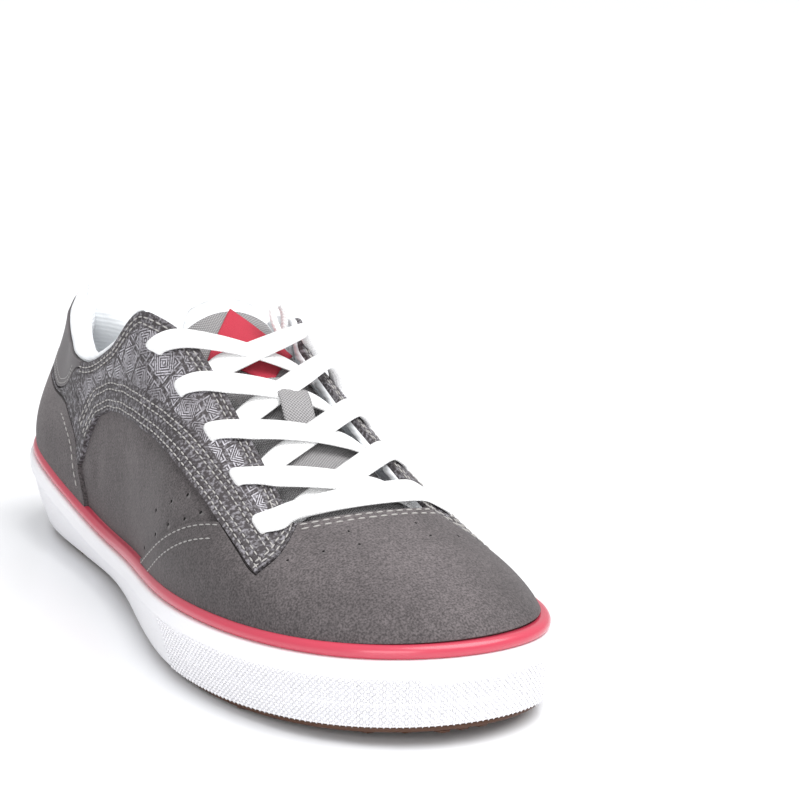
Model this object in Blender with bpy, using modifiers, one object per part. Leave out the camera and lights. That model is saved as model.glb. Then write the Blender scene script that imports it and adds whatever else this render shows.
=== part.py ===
"""Low-cut skateboarding shoe for the right foot, empty and laced, standing on its sole.

Metres, +Z up. The toe points along -Y and the foot's inner side is +X. The origin is on the floor,
under the middle of the shoe's box.
"""

import bmesh
import bpy
import numpy as np
from mathutils import Vector

MM = 0.001

# Driving sizes of the upper.
LENGTH = 300 * MM
GAP = 0.3 * MM
PANEL_GAP = 0.6 * MM
UPPER_WALL = 2.2 * MM
OVERLAY = 1.2 * MM
PADDING = 5.5 * MM
PADDING_RISE = 3.2 * MM
INSOLE = 4.0 * MM

# Sole: the floor line of its underside, the cup that holds the upper and the steps of its side.
OUTSOLE = 2.6 * MM
OUTSOLE_INSET = 2.0 * MM
TOE_SPRING = 4.6 * MM
SPRING_START = 205 * MM
HEEL_BEVEL = 1.6 * MM
HEEL_BEVEL_LENGTH = 14 * MM
ARCH_RISE = 1.4 * MM
ARCH_MIDDLE = 122 * MM
ARCH_HALF_LENGTH = 40 * MM
CUP_FLOOR_TOE = 11 * MM
CUP_FLOOR_HEEL = 17 * MM
RIM_INSET = 4.6 * MM
BAND_HEIGHT = 5.2 * MM
BAND_STEP = 0.7 * MM
PIPING_HEIGHT = 4.4 * MM
PIPING_INSET = 1.6 * MM

# Lacing: a flat lace through two rows of eyelets, the webbing loop that guides it, and the label.
EYELET_RADIUS = 1.9 * MM
LACE_WIDTH = 8.0 * MM
LACE_THICKNESS = 1.2 * MM
LACE_CROWN = 2.4 * MM
LACE_LIFT = 0.5 * MM
LACE_WIDTH_ROUND = 0.0100
LACE_SLANT = 4.5 * MM
LACE_PAST_EYELET = 0.035
LACE_UNDER_EDGE = (2.6 * MM, 1.0 * MM)
TAIL_RADIUS = 1.5 * MM
KEEPER_WIDTH = 11.5 * MM
KEEPER_THICKNESS = 0.9 * MM
LABEL_LENGTH = 38 * MM
LABEL_WIDTH = 33 * MM
LABEL_BACK = 140.5 * MM
LABEL_SIDE = 1.5 * MM
LABEL_LIFT = 0.3 * MM
LABEL_THICKNESS = 0.5 * MM

# The sole's heel end is LENGTH / 2 from the drawing's origin. The box's middle lies here in it.
BOX_MIDDLE = (2.4 * MM, 1.09 * MM, 0)

# Mesh steps: columns between two sections, rows up the upper's wall, and how much closer the rows lie
# towards the edge.
COLUMNS_PER_SECTION = 3
WALL_ROWS = 8
CROWDING = 1.2

# One row for each section, in millimetres, from the heel round the outer side to the toe and back
# along the inner side. back is measured from the heel end, side is + on the inner side.
# back, side: widest line of the sole. rim: height of its side. undercut: how far its foot is set
# in. open_back, open_side, open_height: the edge of the collar and throat. lean, rise: how the
# wall starts from the rim, out and up. reach, drop: how it meets the edge, from outside and below.
SECTION_COLUMNS = (
    "name", "back", "side", "rim", "undercut",
    "open_back", "open_side", "open_height", "lean", "rise", "reach", "drop",
)
SECTIONS = (
    ("heel", 0, 0, 33.5, 6.5, 1.5, 0, 87.0, 5.0, 18, -1.0, 20),
    ("heel corner out", 12, -25.0, 32.0, 7.0, 9.0, -8.0, 82.0, 4.5, 18, 3.0, 20),
    ("heel side out", 45, -36.5, 28.5, 7.5, 38, -19.0, 75.0, 3.5, 18, 5.0, 18),
    ("ankle out", 80, -38.0, 23.0, 7.5, 72, -28.0, 75.8, 3.0, 20, 4.0, 20),
    ("waist out", 112, -39.2, 19.6, 6.0, 101, -28.2, 86.5, 3.0, 25, 5.0, 22),
    ("instep out", 142, -42.6, 20.5, 4.0, 123, -24.2, 103.7, 3.5, 30, 6.0, 16),
    ("lower instep out", 168, -47.3, 21.8, 2.8, 147, -14.5, 92.3, 3.5, 34, 17.0, 9),
    ("ball out", 195, -51.4, 23.2, 2.2, 172, -14.0, 79.0, 3.0, 34, 17.0, 9.5),
    ("fore ball out", 225, -51.2, 24.6, 2.0, 203, -16.0, 65.8, 2.5, 30, 16.0, 10),
    ("toe side out", 258, -43.2, 26.0, 1.6, 231, -19.2, 54.2, 2.0, 18, 16.0, 7),
    ("toe corner out", 285, -25.5, 27.5, 1.2, 234, -9.0, 55.4, 1.5, 12, 28.0, 6),
    ("toe", 300, 8.0, 28.5, 1.0, 234.5, 4.5, 56.0, 1.0, 10, 34.0, 8),
    ("toe corner in", 289, 41.5, 27.5, 1.2, 234, 18.0, 55.4, 0.5, 9, 26.0, 7),
    ("toe side in", 258, 56.0, 26.0, 1.6, 231, 28.2, 54.2, 0.5, 11, 15.0, 8),
    ("fore ball in", 226, 55.0, 24.6, 2.0, 203, 26.0, 65.8, 1.0, 17, 14.0, 10),
    ("ball in", 195, 49.0, 23.2, 2.8, 172, 23.6, 79.0, 2.0, 26, 15.0, 9.5),
    ("lower instep in", 165, 42.4, 21.8, 4.0, 147, 23.5, 89.5, 3.5, 34, 14.0, 9),
    ("instep in", 137, 38.6, 20.5, 5.0, 127, 30.5, 98.0, 3.5, 30, 3.0, 16),
    ("waist in", 108, 37.5, 19.6, 6.0, 103, 31.0, 84.5, 3.0, 25, 3.0, 22),
    ("ankle in", 78, 38.5, 23.0, 7.5, 72, 28.5, 75.5, 3.0, 20, 4.0, 20),
    ("heel side in", 45, 37.5, 28.5, 7.5, 38, 19.5, 75.0, 3.5, 18, 5.0, 18),
    ("heel corner in", 12, 26.0, 32.0, 7.0, 9.0, 8.0, 82.0, 4.5, 18, 3.0, 20),
)

# Edges of the panels on one side, the same on both: place round the shoe, as hundredths of the way
# from the heel over the toe and back, and hundredths of the way up the wall. They are the low edge
# of collar and eyestay, the counter's top, the heel tab's low edge, and the rear seam of the cap.
EYESTAY_LOW = (
    (0, 62), (8.4, 63), (11.7, 66.5), (13.3, 58.5), (14.3, 48.5), (14.8, 32), (15.7, 50),
    (16.4, 60), (17.2, 66), (18.7, 66.5), (20.4, 60), (22.6, 51.5), (24.8, 49), (29.4, 50.5),
    (32.8, 50.5), (34.3, 49), (36.7, 45.5), (38.5, 41),
)
EYESTAY_TIP = 38.5
EYESTAY_CORNER = 41.0
COUNTER_TOP = ((0, 60), (8.4, 61), (11.7, 64), (13.3, 56.5), (14.3, 46), (14.8, 30), (15.6, 11))
TAB_LOW = ((0, 66), (8.7, 66), (10.3, 71), (11.6, 78.5), (12.6, 88.5), (13.6, 95.5), (14.8, 97))
CAP_REAR = ((25.6, 4), (28.3, 13.5), (30, 21), (31.6, 29), (33, 37), (34.8, 48))
CAP_UNDER_EYESTAY = ((34.8, 48), (36.7, 44), (38.5, 39.5), (50, 45))
TAB_END = 9
COUNTER_END = 10
PADDING_END = 15
TOP_OF_WALL = 0.985
SEAM = 0.012

# The eyelets of one side, from the toe up: place and height on the wall, as above.
EYELETS = ((37.1, 72), (33.9, 78), (30.6, 79), (26.9, 78), (24.2, 85))

# The tongue, one row for each station along it, in millimetres: distance from the heel end, height
# of its middle, half width, how far its sides fall, thickness, and side of its middle.
TONGUE_COLUMNS = ("back", "height", "half_width", "fall", "thickness", "middle")
TONGUE = (
    (245, 45.0, 20, 3.0, 2.6, 4.5),
    (230, 51.0, 22, 4.2, 2.8, 4.5),
    (205, 62.5, 22.5, 5.5, 3.2, 4.5),
    (180, 73.5, 22, 6.0, 3.6, 4.6),
    (155, 84.5, 21.5, 6.0, 4.2, 5.0),
    (138, 92.8, 20.5, 6.5, 5.0, 5.6),
    (124, 100.0, 19.0, 7.0, 5.5, 6.0),
    (116, 105.0, 14, 4.0, 4.0, 6.6),
)

# The webbing loop's line along the tongue: distance from the heel end, lift over the tongue, and side
# of the tongue's middle, in millimetres.
KEEPER = (
    (194, 0.4, -1), (188, 0.4, -1), (183, 3.0, -0.5), (177.5, 7.0, 0.5), (171, 8.2, 2.5), (165, 8.0, 3.5),
    (160, 6.6, 4), (156.5, 3.2, 4), (153, 1.3, 4), (148, 1.2, 4),
)

# The lace's loose end: side, distance from the heel end and height in millimetres.
TAIL = (
    (19.5, 145.0, 93.9), (19.0, 142.4, 94.6), (18.0, 139.8, 97.2), (17.2, 137.8, 100.6),
    (17.6, 136.2, 103.6), (19.6, 134.8, 105.4), (22.0, 133.6, 104.4), (23.4, 133.0, 101.4),
    (23.6, 133.0, 98.0), (23.2, 133.2, 94.6), (23.0, 133.4, 91.8),
)

COLOURS = {
    "rubber": (0.86, 0.86, 0.87, 0.55),
    "gum": (0.16, 0.07, 0.035, 0.6),
    "red_rubber": (0.42, 0.035, 0.055, 0.35),
    "suede": (0.075, 0.066, 0.060, 0.95),
    "printed_leather": (0.11, 0.105, 0.108, 0.7),
    "nubuck": (0.13, 0.125, 0.122, 0.9),
    "padding": (0.85, 0.86, 0.88, 0.9),
    "canvas": (0.17, 0.165, 0.155, 0.95),
    "red_cloth": (0.50, 0.03, 0.06, 0.8),
    "lace": (0.88, 0.88, 0.88, 0.85),
    "insole": (0.80, 0.80, 0.82, 0.9),
}


def section_column(name):
    """One column of the sections, in metres."""
    place = SECTION_COLUMNS.index(name)
    return np.array([row[place] for row in SECTIONS], float) * MM


def section_places():
    """Each section's place round the shoe, by length along the sole: 0 at the heel, 0.5 at the toe."""
    back, side = section_column("back"), section_column("side")
    steps = np.hypot(np.diff(back, append=back[0]), np.diff(side, append=side[0]))
    run = np.concatenate([[0.0], np.cumsum(steps)])
    toe = [row[0] for row in SECTIONS].index("toe")
    outer = 0.5 * run[: toe + 1] / run[toe]
    inner = 0.5 + 0.5 * (run[toe + 1:] - run[toe]) / (run[-1] - run[toe])
    return np.concatenate([outer, inner])


PLACES = section_places()
TOE_COLUMN = COLUMNS_PER_SECTION * [row[0] for row in SECTIONS].index("toe")


def column_places():
    """Places of the mesh's columns, the same number between any two sections."""
    ends = PLACES[1:]
    part = np.arange(COLUMNS_PER_SECTION) / COLUMNS_PER_SECTION
    return (PLACES[:-1, None] + (ends - PLACES[:-1])[:, None] * part).ravel()


COLUMNS = column_places()


def smooth_slopes(values, h):
    """Slopes of the closed curve through the values whose curvature has no jumps."""
    count = len(values)
    rise = (np.roll(values, -1) - values) / h
    matrix = np.zeros((count, count))
    target = np.zeros(count)
    for i in range(count):
        before, after = h[i - 1], h[i]
        matrix[i, i - 1] += after
        matrix[i, i] += 2 * (before + after)
        matrix[i, (i + 1) % count] += before
        target[i] = 3 * (after * rise[i - 1] + before * rise[i])
    return np.linalg.solve(matrix, target)


def tight_slopes(values, h):
    """Slopes that never let the closed curve pass beyond the values, as at the throat's corners."""
    rise = (np.roll(values, -1) - values) / h
    before = np.roll(rise, 1)
    product = before * rise
    together = before + rise
    safe = np.where(together == 0, 1, together)
    return np.where(product > 0, 2 * product / safe, 0)


def closed_curves():
    """Values and slopes of every column of the sections: the edge's columns turn tight corners."""
    h = np.diff(PLACES)
    curves = {}
    for name in SECTION_COLUMNS[1:]:
        values = section_column(name)
        find = tight_slopes if name.startswith("open") else smooth_slopes
        curves[name] = (values, find(values, h))
    return curves


CURVES = closed_curves()


def read_round(name, at):
    """A column of the sections, read at places round the shoe."""
    values, slope = CURVES[name]
    h = np.diff(PLACES)
    at = np.mod(np.asarray(at, float), 1.0)
    i = np.clip(np.searchsorted(PLACES, at, side="right") - 1, 0, len(values) - 1)
    j = (i + 1) % len(values)
    t = (at - PLACES[i]) / h[i]
    s = 1 - t
    ends = values[i] * s * s * (1 + 2 * t) + values[j] * t * t * (1 + 2 * s)
    return ends + h[i] * s * t * (slope[i] * s - slope[j] * t)


def along(back):
    """Y of a distance from the heel end."""
    return LENGTH / 2 - back


def outline(at, inset=0.0):
    """The sole's widest line seen from above, moved in by an inset."""
    def line(places):
        return np.stack([read_round("side", places), along(read_round("back", places))], -1)

    step = 1e-4
    tangent = line(at + step) - line(at - step)
    tangent /= np.linalg.norm(tangent, axis=-1, keepdims=True)
    inward = np.stack([-tangent[..., 1], tangent[..., 0]], -1)
    inset = np.broadcast_to(np.asarray(inset, float), np.shape(at))
    return line(at) + inward * inset[..., None], -inward


def upper_point(at, up):
    """Outer surface of the upper: at goes round the shoe, up from the sole's rim (0) to the edge (1)."""
    at, up = np.broadcast_arrays(np.asarray(at, float), np.asarray(up, float))
    foot_plan, outward = outline(at, RIM_INSET + GAP)
    foot = np.concatenate([foot_plan, read_round("rim", at)[..., None]], -1)
    edge_back = along(read_round("open_back", at))
    edge = np.stack([read_round("open_side", at), edge_back, read_round("open_height", at)], -1)
    away = foot_plan - edge[..., :2]
    away /= np.linalg.norm(away, axis=-1, keepdims=True)
    lean, rise = read_round("lean", at)[..., None], read_round("rise", at)[..., None]
    reach, drop = read_round("reach", at)[..., None], read_round("drop", at)[..., None]
    low = foot + np.concatenate([outward * lean, rise], -1)
    high = edge + np.concatenate([away * reach, -drop], -1)
    t = up[..., None]
    s = 1 - t
    return s**3 * foot + 3 * s * s * t * low + 3 * s * t * t * high + t**3 * edge


def upper_normal(at, up):
    """Outward direction of the upper's surface."""
    step = 1e-3
    at, up = np.broadcast_arrays(np.asarray(at, float), np.asarray(up, float))
    round_way = upper_point(at + step, up) - upper_point(at - step, up)
    up_way = upper_point(at, up + step) - upper_point(at, up - step)
    normal = np.cross(round_way, up_way)
    return normal / np.linalg.norm(normal, axis=-1, keepdims=True)


def on_upper(at, up, out=0.0):
    """A point of the upper's outer surface, moved out along its normal."""
    return upper_point(at, up) + upper_normal(at, up) * np.asarray(out, float)[..., None]


def up_at_height(at, height):
    """How far up the wall it reaches a height, by halving."""
    at, height = np.broadcast_arrays(np.asarray(at, float), np.asarray(height, float))
    low, high = np.zeros(at.shape), np.ones(at.shape)
    for _ in range(24):
        middle = (low + high) / 2
        under = upper_point(at, middle)[..., 2] < height
        low = np.where(under, middle, low)
        high = np.where(under, high, middle)
    return (low + high) / 2


def panel_line(at, line):
    """How far up the wall a panel's edge runs, on either side of the shoe."""
    points = np.array(line, float) / 100
    at = np.mod(np.asarray(at, float), 1.0)
    return np.interp(np.minimum(at, 1 - at), points[:, 0], points[:, 1])


def floor_height(back):
    """Height of the sole's underside over the floor: flat under heel and ball, raised between."""
    back = np.asarray(back, float)
    toe = TOE_SPRING * (np.clip(back - SPRING_START, 0, None) / (LENGTH - SPRING_START)) ** 2
    heel = HEEL_BEVEL * (np.clip(HEEL_BEVEL_LENGTH - back, 0, None) / HEEL_BEVEL_LENGTH) ** 2
    place = np.clip(np.abs(back - ARCH_MIDDLE) / ARCH_HALF_LENGTH, 0, 1)
    return toe + heel + ARCH_RISE * (1 - place**2) ** 2


def cup_floor(back):
    """Height of the floor inside the sole's cup, higher under the heel."""
    slope = np.clip((np.asarray(back, float) - 60 * MM) / (120 * MM), 0, 1)
    ease = slope * slope * (3 - 2 * slope)
    return floor_height(back) + CUP_FLOOR_HEEL + (CUP_FLOOR_TOE - CUP_FLOOR_HEEL) * ease


def material(name):
    """The named material, made once."""
    found = bpy.data.materials.get(name)
    if found:
        return found
    made = bpy.data.materials.new(name)
    made.use_nodes = True
    shader = made.node_tree.nodes["Principled BSDF"]
    red, green, blue, rough = COLOURS[name]
    shader.inputs["Base Color"].default_value = (red, green, blue, 1)
    shader.inputs["Roughness"].default_value = rough
    made.diffuse_color = (red, green, blue, 1)
    return made


def collection(name):
    """A new collection in the scene."""
    made = bpy.data.collections.new(name)
    bpy.context.scene.collection.children.link(made)
    return made


def add_object(name, mesh, finish, home):
    """An object for a mesh, with its material, in a collection."""
    piece = bpy.data.objects.new(name, mesh)
    if finish:
        piece.data.materials.append(material(finish))
    home.objects.link(piece)
    return piece


def grid_mesh(name, points, closed_round=False, keep=None):
    """A mesh from a grid of points, (columns, rows, 3). keep says which of its faces are made."""
    count, rows = points.shape[:2]
    shape = bmesh.new()
    verts = [[shape.verts.new(Vector(point)) for point in line] for line in points]
    for i in range(count if closed_round else count - 1):
        j = (i + 1) % count
        for k in range(rows - 1):
            if keep is None or keep[i][k]:
                shape.faces.new((verts[i][k], verts[j][k], verts[j][k + 1], verts[i][k + 1]))
    loose = [vert for vert in shape.verts if not vert.link_faces]
    bmesh.ops.delete(shape, geom=loose, context="VERTS")
    mesh = bpy.data.meshes.new(name)
    shape.to_mesh(mesh)
    shape.free()
    return mesh


def shell(name, points, thickness, finish, home, closed_round=False, keep=None):
    """A wall that grows out of a grid's face: a negative thickness grows it inwards."""
    piece = add_object(name, grid_mesh(name, points, closed_round, keep), finish, home)
    wall = piece.modifiers.new("wall", "SOLIDIFY")
    wall.thickness = abs(thickness)
    wall.offset = 1 if thickness > 0 else -1
    wall.use_rim = True
    return piece


def ring_solid(name, rings, finish, home, capped=True):
    """A solid lofted through closed rings: its two ends are capped, or meet each other."""
    count = len(rings[0])
    shape = bmesh.new()
    verts = [[shape.verts.new(Vector(point)) for point in ring] for ring in rings]
    pairs = list(zip(verts[:-1], verts[1:]))
    if not capped:
        pairs.append((verts[-1], verts[0]))
    for below, above in pairs:
        for i in range(count):
            j = (i + 1) % count
            shape.faces.new((below[i], below[j], above[j], above[i]))
    if capped:
        for ring in (verts[0], verts[-1]):
            cap_across(shape, ring)
    bmesh.ops.recalc_face_normals(shape, faces=shape.faces)
    mesh = bpy.data.meshes.new(name)
    shape.to_mesh(mesh)
    shape.free()
    return add_object(name, mesh, finish, home)


def cap_across(shape, ring):
    """Closes a ring with strips from the outer side to the inner side."""
    count = len(ring)
    shape.faces.new((ring[0], ring[1], ring[-1]))
    for i in range(1, TOE_COLUMN - 1):
        near, far = TOE_COLUMN - i, TOE_COLUMN + (count - TOE_COLUMN) * i // TOE_COLUMN
        shape.faces.new((ring[near], ring[near - 1], ring[far + 1], ring[far]))
    shape.faces.new((ring[TOE_COLUMN], ring[TOE_COLUMN - 1], ring[TOE_COLUMN + 1]))


def at_heights(plan, heights):
    """Points of a plan raised to their heights."""
    return np.concatenate([plan, np.asarray(heights, float)[:, None]], 1)


def build_outsole(home):
    """The gum rubber that walks on the ground."""
    undercut = read_round("undercut", COLUMNS)
    rings = []
    for inset, rise in ((OUTSOLE_INSET + 0.8 * MM, 0), (OUTSOLE_INSET, 1.0 * MM), (OUTSOLE_INSET, OUTSOLE)):
        plan, _ = outline(COLUMNS, undercut + inset)
        rings.append(at_heights(plan, floor_height(LENGTH / 2 - plan[:, 1]) + rise))
    ring_solid("outsole", rings, "gum", home)


def build_cupsole(home):
    """The white cup: textured side below, smooth band above, and the hollow that holds the upper."""
    undercut, rim = read_round("undercut", COLUMNS), read_round("rim", COLUMNS)
    foot_plan, _ = outline(COLUMNS, undercut)
    base = floor_height(LENGTH / 2 - foot_plan[:, 1]) + OUTSOLE + GAP
    band_low = rim - BAND_HEIGHT
    levels = (
        (undercut, base),
        (undercut * 0.45 + BAND_STEP, base + (band_low - base) * 0.45),
        (BAND_STEP, band_low - 0.6 * MM),
        (0 * MM, band_low),
        (0 * MM, rim - 0.9 * MM),
        (0.9 * MM, rim),
        (RIM_INSET, rim),
    )
    rings = []
    for inset, height in levels:
        plan, _ = outline(COLUMNS, inset)
        rings.append(at_heights(plan, height))
    plan, _ = outline(COLUMNS, RIM_INSET)
    rings.append(at_heights(plan, cup_floor(LENGTH / 2 - plan[:, 1])))
    ring_solid("cupsole", rings, "rubber", home)


def build_piping(home):
    """The red bead that lies on the sole's rim, round the foot of the upper."""
    rim = read_round("rim", COLUMNS)
    top = up_at_height(COLUMNS, rim + PIPING_HEIGHT)
    outer, _ = outline(COLUMNS, PIPING_INSET)
    shoulder, _ = outline(COLUMNS, PIPING_INSET + 0.5 * MM)
    crest, _ = outline(COLUMNS, PIPING_INSET + 1.3 * MM)
    inner, _ = outline(COLUMNS, RIM_INSET)
    rings = (
        at_heights(inner, rim + GAP),
        at_heights(shoulder, rim + GAP),
        at_heights(outer, rim + PIPING_HEIGHT * 0.4),
        at_heights(crest, rim + PIPING_HEIGHT),
        on_upper(COLUMNS, top, GAP),
    )
    ring_solid("piping", rings, "red_rubber", home, capped=False)


def build_insole(home):
    """The footbed that lies in the cup, inside the upper."""
    inset = RIM_INSET + GAP + UPPER_WALL + GAP
    plan, _ = outline(COLUMNS, inset)
    low = cup_floor(LENGTH / 2 - plan[:, 1]) + GAP
    narrow, _ = outline(COLUMNS, inset + 0.6 * MM)
    rings = (at_heights(plan, low), at_heights(plan, low + INSOLE - 1 * MM), at_heights(narrow, low + INSOLE))
    ring_solid("insole", rings, "insole", home)


def eyelet_place(side, row):
    """Place and height on the wall of an eyelet: side is -1 outside, 1 inside, row 0 next the toe."""
    place, up = np.array(EYELETS[row]) / 100
    return (place if side < 0 else 1 - place), up


def punch_eyelets(pieces, cutters):
    """Cuts the lace holes through the upper and the eyestay."""
    for side in (-1, 1):
        for row in range(len(EYELETS)):
            place = eyelet_place(side, row)
            centre, normal = upper_point(*place), upper_normal(*place)
            bpy.ops.mesh.primitive_cylinder_add(vertices=8, radius=EYELET_RADIUS, depth=12 * MM, location=centre)
            cutter = bpy.context.object
            cutter.name = f"eyelet_cutter_{row + 1}_{'outer' if side < 0 else 'inner'}"
            cutter.rotation_euler = Vector(normal).to_track_quat("Z", "Y").to_euler()
            cutter.hide_render = True
            cutter.display_type = "WIRE"
            for other in cutter.users_collection:
                other.objects.unlink(cutter)
            cutters.objects.link(cutter)
            for piece in pieces:
                hole = piece.modifiers.new("eyelet", "BOOLEAN")
                hole.operation = "DIFFERENCE"
                hole.object = cutter


def row_heights(rows):
    """Heights of rows from 0 to 1, closer together towards the edge of the wall."""
    return 1 - (1 - np.linspace(0, 1, rows + 1)) ** CROWDING


def build_upper(home):
    """The hollow upper: one wall from inside the cup to the collar and throat."""
    grid = np.stack([upper_point(COLUMNS, up) for up in row_heights(WALL_ROWS)], 1)
    foot = grid[:, 0].copy()
    foot[:, 2] = cup_floor(LENGTH / 2 - foot[:, 1]) + GAP
    grid = np.concatenate([foot[:, None], grid], 1)
    return shell("upper", grid, -UPPER_WALL, "suede", home, closed_round=True)


def overlay(name, places, ups, finish, home, keep=None):
    """A panel laid on the upper, from grids of places and heights on the wall, (columns, rows)."""
    places, ups = np.broadcast_arrays(places, ups)
    return shell(name, on_upper(places, ups, np.full(places.shape, PANEL_GAP)), OVERLAY, finish, home, keep=keep)


def rows_between(low, high, rows):
    """Heights on the wall from one line to another, (columns, rows + 1)."""
    return low[:, None] + (high - low)[:, None] * row_heights(rows)


def column_range(first, last, extra=()):
    """Places of the columns from one number to another, below zero past the heel, and extra ones."""
    count = len(COLUMNS)
    places = [COLUMNS[i % count] + i // count for i in range(first, last + 1)]
    return np.array(sorted(places + list(extra)))


def over_piping(at):
    """How far up the wall the panels start, just over the piping."""
    return up_at_height(at, read_round("rim", at) + PIPING_HEIGHT + GAP)


def lean_to_corner(places):
    """How far the columns near the eyestay's end lean towards the throat's corner at their top."""
    tip, corner = EYESTAY_TIP / 100, EYESTAY_CORNER / 100
    near = np.interp(places, (tip - 0.05, tip, tip + 0.05), (0, corner - tip, 0))
    far = np.interp(places, (1 - tip - 0.05, 1 - tip, 1 - tip + 0.05), (0, corner - tip, 0))
    return near - far


def build_toe_cap(home):
    """The suede vamp and toe cap: low beside the eyestays, full height between them."""
    start, tip = CAP_REAR[0][0] / 100, (EYESTAY_TIP + 0.2) / 100
    beside = [place for place in COLUMNS if start + 0.008 < place < tip - 0.004]
    outer = [start + 0.004] + beside + [tip]
    middle = [place for place in COLUMNS if tip + 0.004 < place < 1 - tip - 0.004]
    places = np.array(outer + middle + [1 - place for place in outer[::-1]])
    low = over_piping(places)
    folded = np.minimum(places, 1 - places)
    rear = panel_line(places, CAP_REAR)
    bend = np.where(folded < CAP_REAR[-1][0] / 100, rear, panel_line(places, CAP_UNDER_EYESTAY))
    bend = np.maximum(bend, low + 0.02)
    below = rows_between(low, bend, 5)
    above = rows_between(bend, np.full(len(places), TOP_OF_WALL), 4)[:, 1:]
    ups = np.concatenate([below, above], 1)
    share = np.clip((ups - bend[:, None]) / (1 - bend[:, None]), 0, 1)
    leaning = places[:, None] + lean_to_corner(places)[:, None] * share
    keep = [[k < 5 or len(outer) - 1 <= i < len(places) - len(outer) for k in range(9)] for i in range(len(places))]
    overlay("toe_cap", leaning, ups, "suede", home, keep)


def build_eyestay(home):
    """The printed leather from one side of the throat round the collar to the other."""
    tip = EYESTAY_TIP / 100
    ends = [place for place in COLUMNS if place < tip - 0.004]
    outer = sorted(ends + [0.148, tip])
    places = np.array([-place for place in outer[:0:-1]] + outer)
    low = panel_line(places, EYESTAY_LOW)
    tab = panel_line(places, TAB_LOW) - SEAM
    high = np.where(np.abs(places) < COLUMNS[TAB_END] + 0.001, tab, TOP_OF_WALL)
    ups = rows_between(low, high, 5)
    lean = np.sign(places) * lean_to_corner(np.abs(places))
    share = np.clip((ups - low[:, None]) / (1 - low[:, None]), 0, 1)
    return overlay("eyestay", places[:, None] + lean[:, None] * share, ups, "printed_leather", home)


def build_counter(home):
    """The suede counter round the heel."""
    places = column_range(-COUNTER_END, COUNTER_END, (-0.148, 0.148))
    low = over_piping(places)
    high = np.maximum(panel_line(places, COUNTER_TOP), low + 0.02)
    overlay("heel_counter", places[:, None], rows_between(low, high, 4), "suede", home)


def build_heel_tab(home):
    """The nubuck tab over the back of the collar, and the red strip at its top."""
    places = column_range(-TAB_END, TAB_END)
    ups = rows_between(panel_line(places, TAB_LOW), np.full(len(places), TOP_OF_WALL), 3)
    overlay("heel_tab", places[:, None], ups, "nubuck", home)
    places = column_range(-1, 1) * 0.7
    out = np.full((3, 3), PANEL_GAP + OVERLAY + GAP)
    grid = on_upper(*np.broadcast_arrays(places[:, None], np.array([0.86, 0.92, TOP_OF_WALL])), out)
    shell("heel_strip", grid, OVERLAY, "red_cloth", home)


def band_solid(name, sections, finish, home):
    """A solid lofted along closed sections, (sections, points, 3), with both ends capped."""
    count, around = sections.shape[:2]
    shape = bmesh.new()
    verts = [[shape.verts.new(Vector(point)) for point in section] for section in sections]
    for i in range(count - 1):
        for k in range(around):
            n = (k + 1) % around
            shape.faces.new((verts[i][k], verts[i][n], verts[i + 1][n], verts[i + 1][k]))
    for section in (verts[0], verts[-1]):
        shape.faces.new(section)
    bmesh.ops.recalc_face_normals(shape, faces=shape.faces)
    mesh = bpy.data.meshes.new(name)
    shape.to_mesh(mesh)
    shape.free()
    return add_object(name, mesh, finish, home)


def build_padding(home):
    """The padded lining of the collar: it lines the wall and rolls over the upper's edge."""
    columns = column_range(-PADDING_END, PADDING_END)
    open_back = read_round("open_back", columns)
    ease = np.clip((open_back - 85 * MM) / (40 * MM), 0, 1)
    pad = PADDING * (1 - 0.6 * ease)
    inside = -(UPPER_WALL + 2 * GAP)
    edge, normal = upper_point(columns, 1.0), upper_normal(columns, 0.995)
    rise = edge - upper_point(columns, 0.97)
    rise /= np.linalg.norm(rise, axis=-1, keepdims=True)

    def over_edge(up, out):
        return edge + rise * up + normal * np.broadcast_to(out, pad.shape)[:, None]

    points = (
        on_upper(columns, 0.55, np.full(pad.shape, inside)),
        on_upper(columns, 0.78, np.full(pad.shape, inside)),
        over_edge(0.4 * MM, inside),
        over_edge(0.4 * MM, -0.4 * MM),
        over_edge(PADDING_RISE * 0.7, -0.9 * MM),
        over_edge(PADDING_RISE, inside - 0.4 * pad),
        over_edge(PADDING_RISE * 0.4, inside - pad),
        on_upper(columns, 0.8, inside - pad),
        on_upper(columns, 0.55, np.full(pad.shape, inside - 1.0 * MM)),
    )
    band_solid("collar_padding", np.stack(points, 1), "padding", home)


def tongue_column(name, back):
    """A column of the tongue's table, in metres, read at distances from the heel end."""
    place = TONGUE_COLUMNS.index(name)
    table = np.array(sorted(TONGUE), float) * MM
    return np.interp(back, table[:, 0], table[:, place])


def tongue_point(back, across, out=0.0):
    """The tongue's upper face: across runs from -1 on the outer side to 1 on the inner side."""
    side = tongue_column("middle", back) + across * tongue_column("half_width", back)
    height = tongue_column("height", back) - tongue_column("fall", back) * across**2
    return np.stack([side, along(back), height + out], -1)


def build_tongue(home):
    """The padded canvas tongue, from under the vamp to over the instep."""
    backs = np.array([row[0] for row in TONGUE], float) * MM
    across = np.linspace(-1, 1, 9)
    top = [tongue_point(np.full(across.shape, back), across) for back in backs]
    sections = []
    for back, line in zip(backs, top):
        below = line[::-1] - np.array([0, 0, 1]) * tongue_column("thickness", back)
        below[:, 2] += tongue_column("thickness", back) * 0.6 * np.abs(across[::-1]) ** 3
        sections.append(np.concatenate([line, below]))
    band_solid("tongue", np.stack(sections), "canvas", home)


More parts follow.
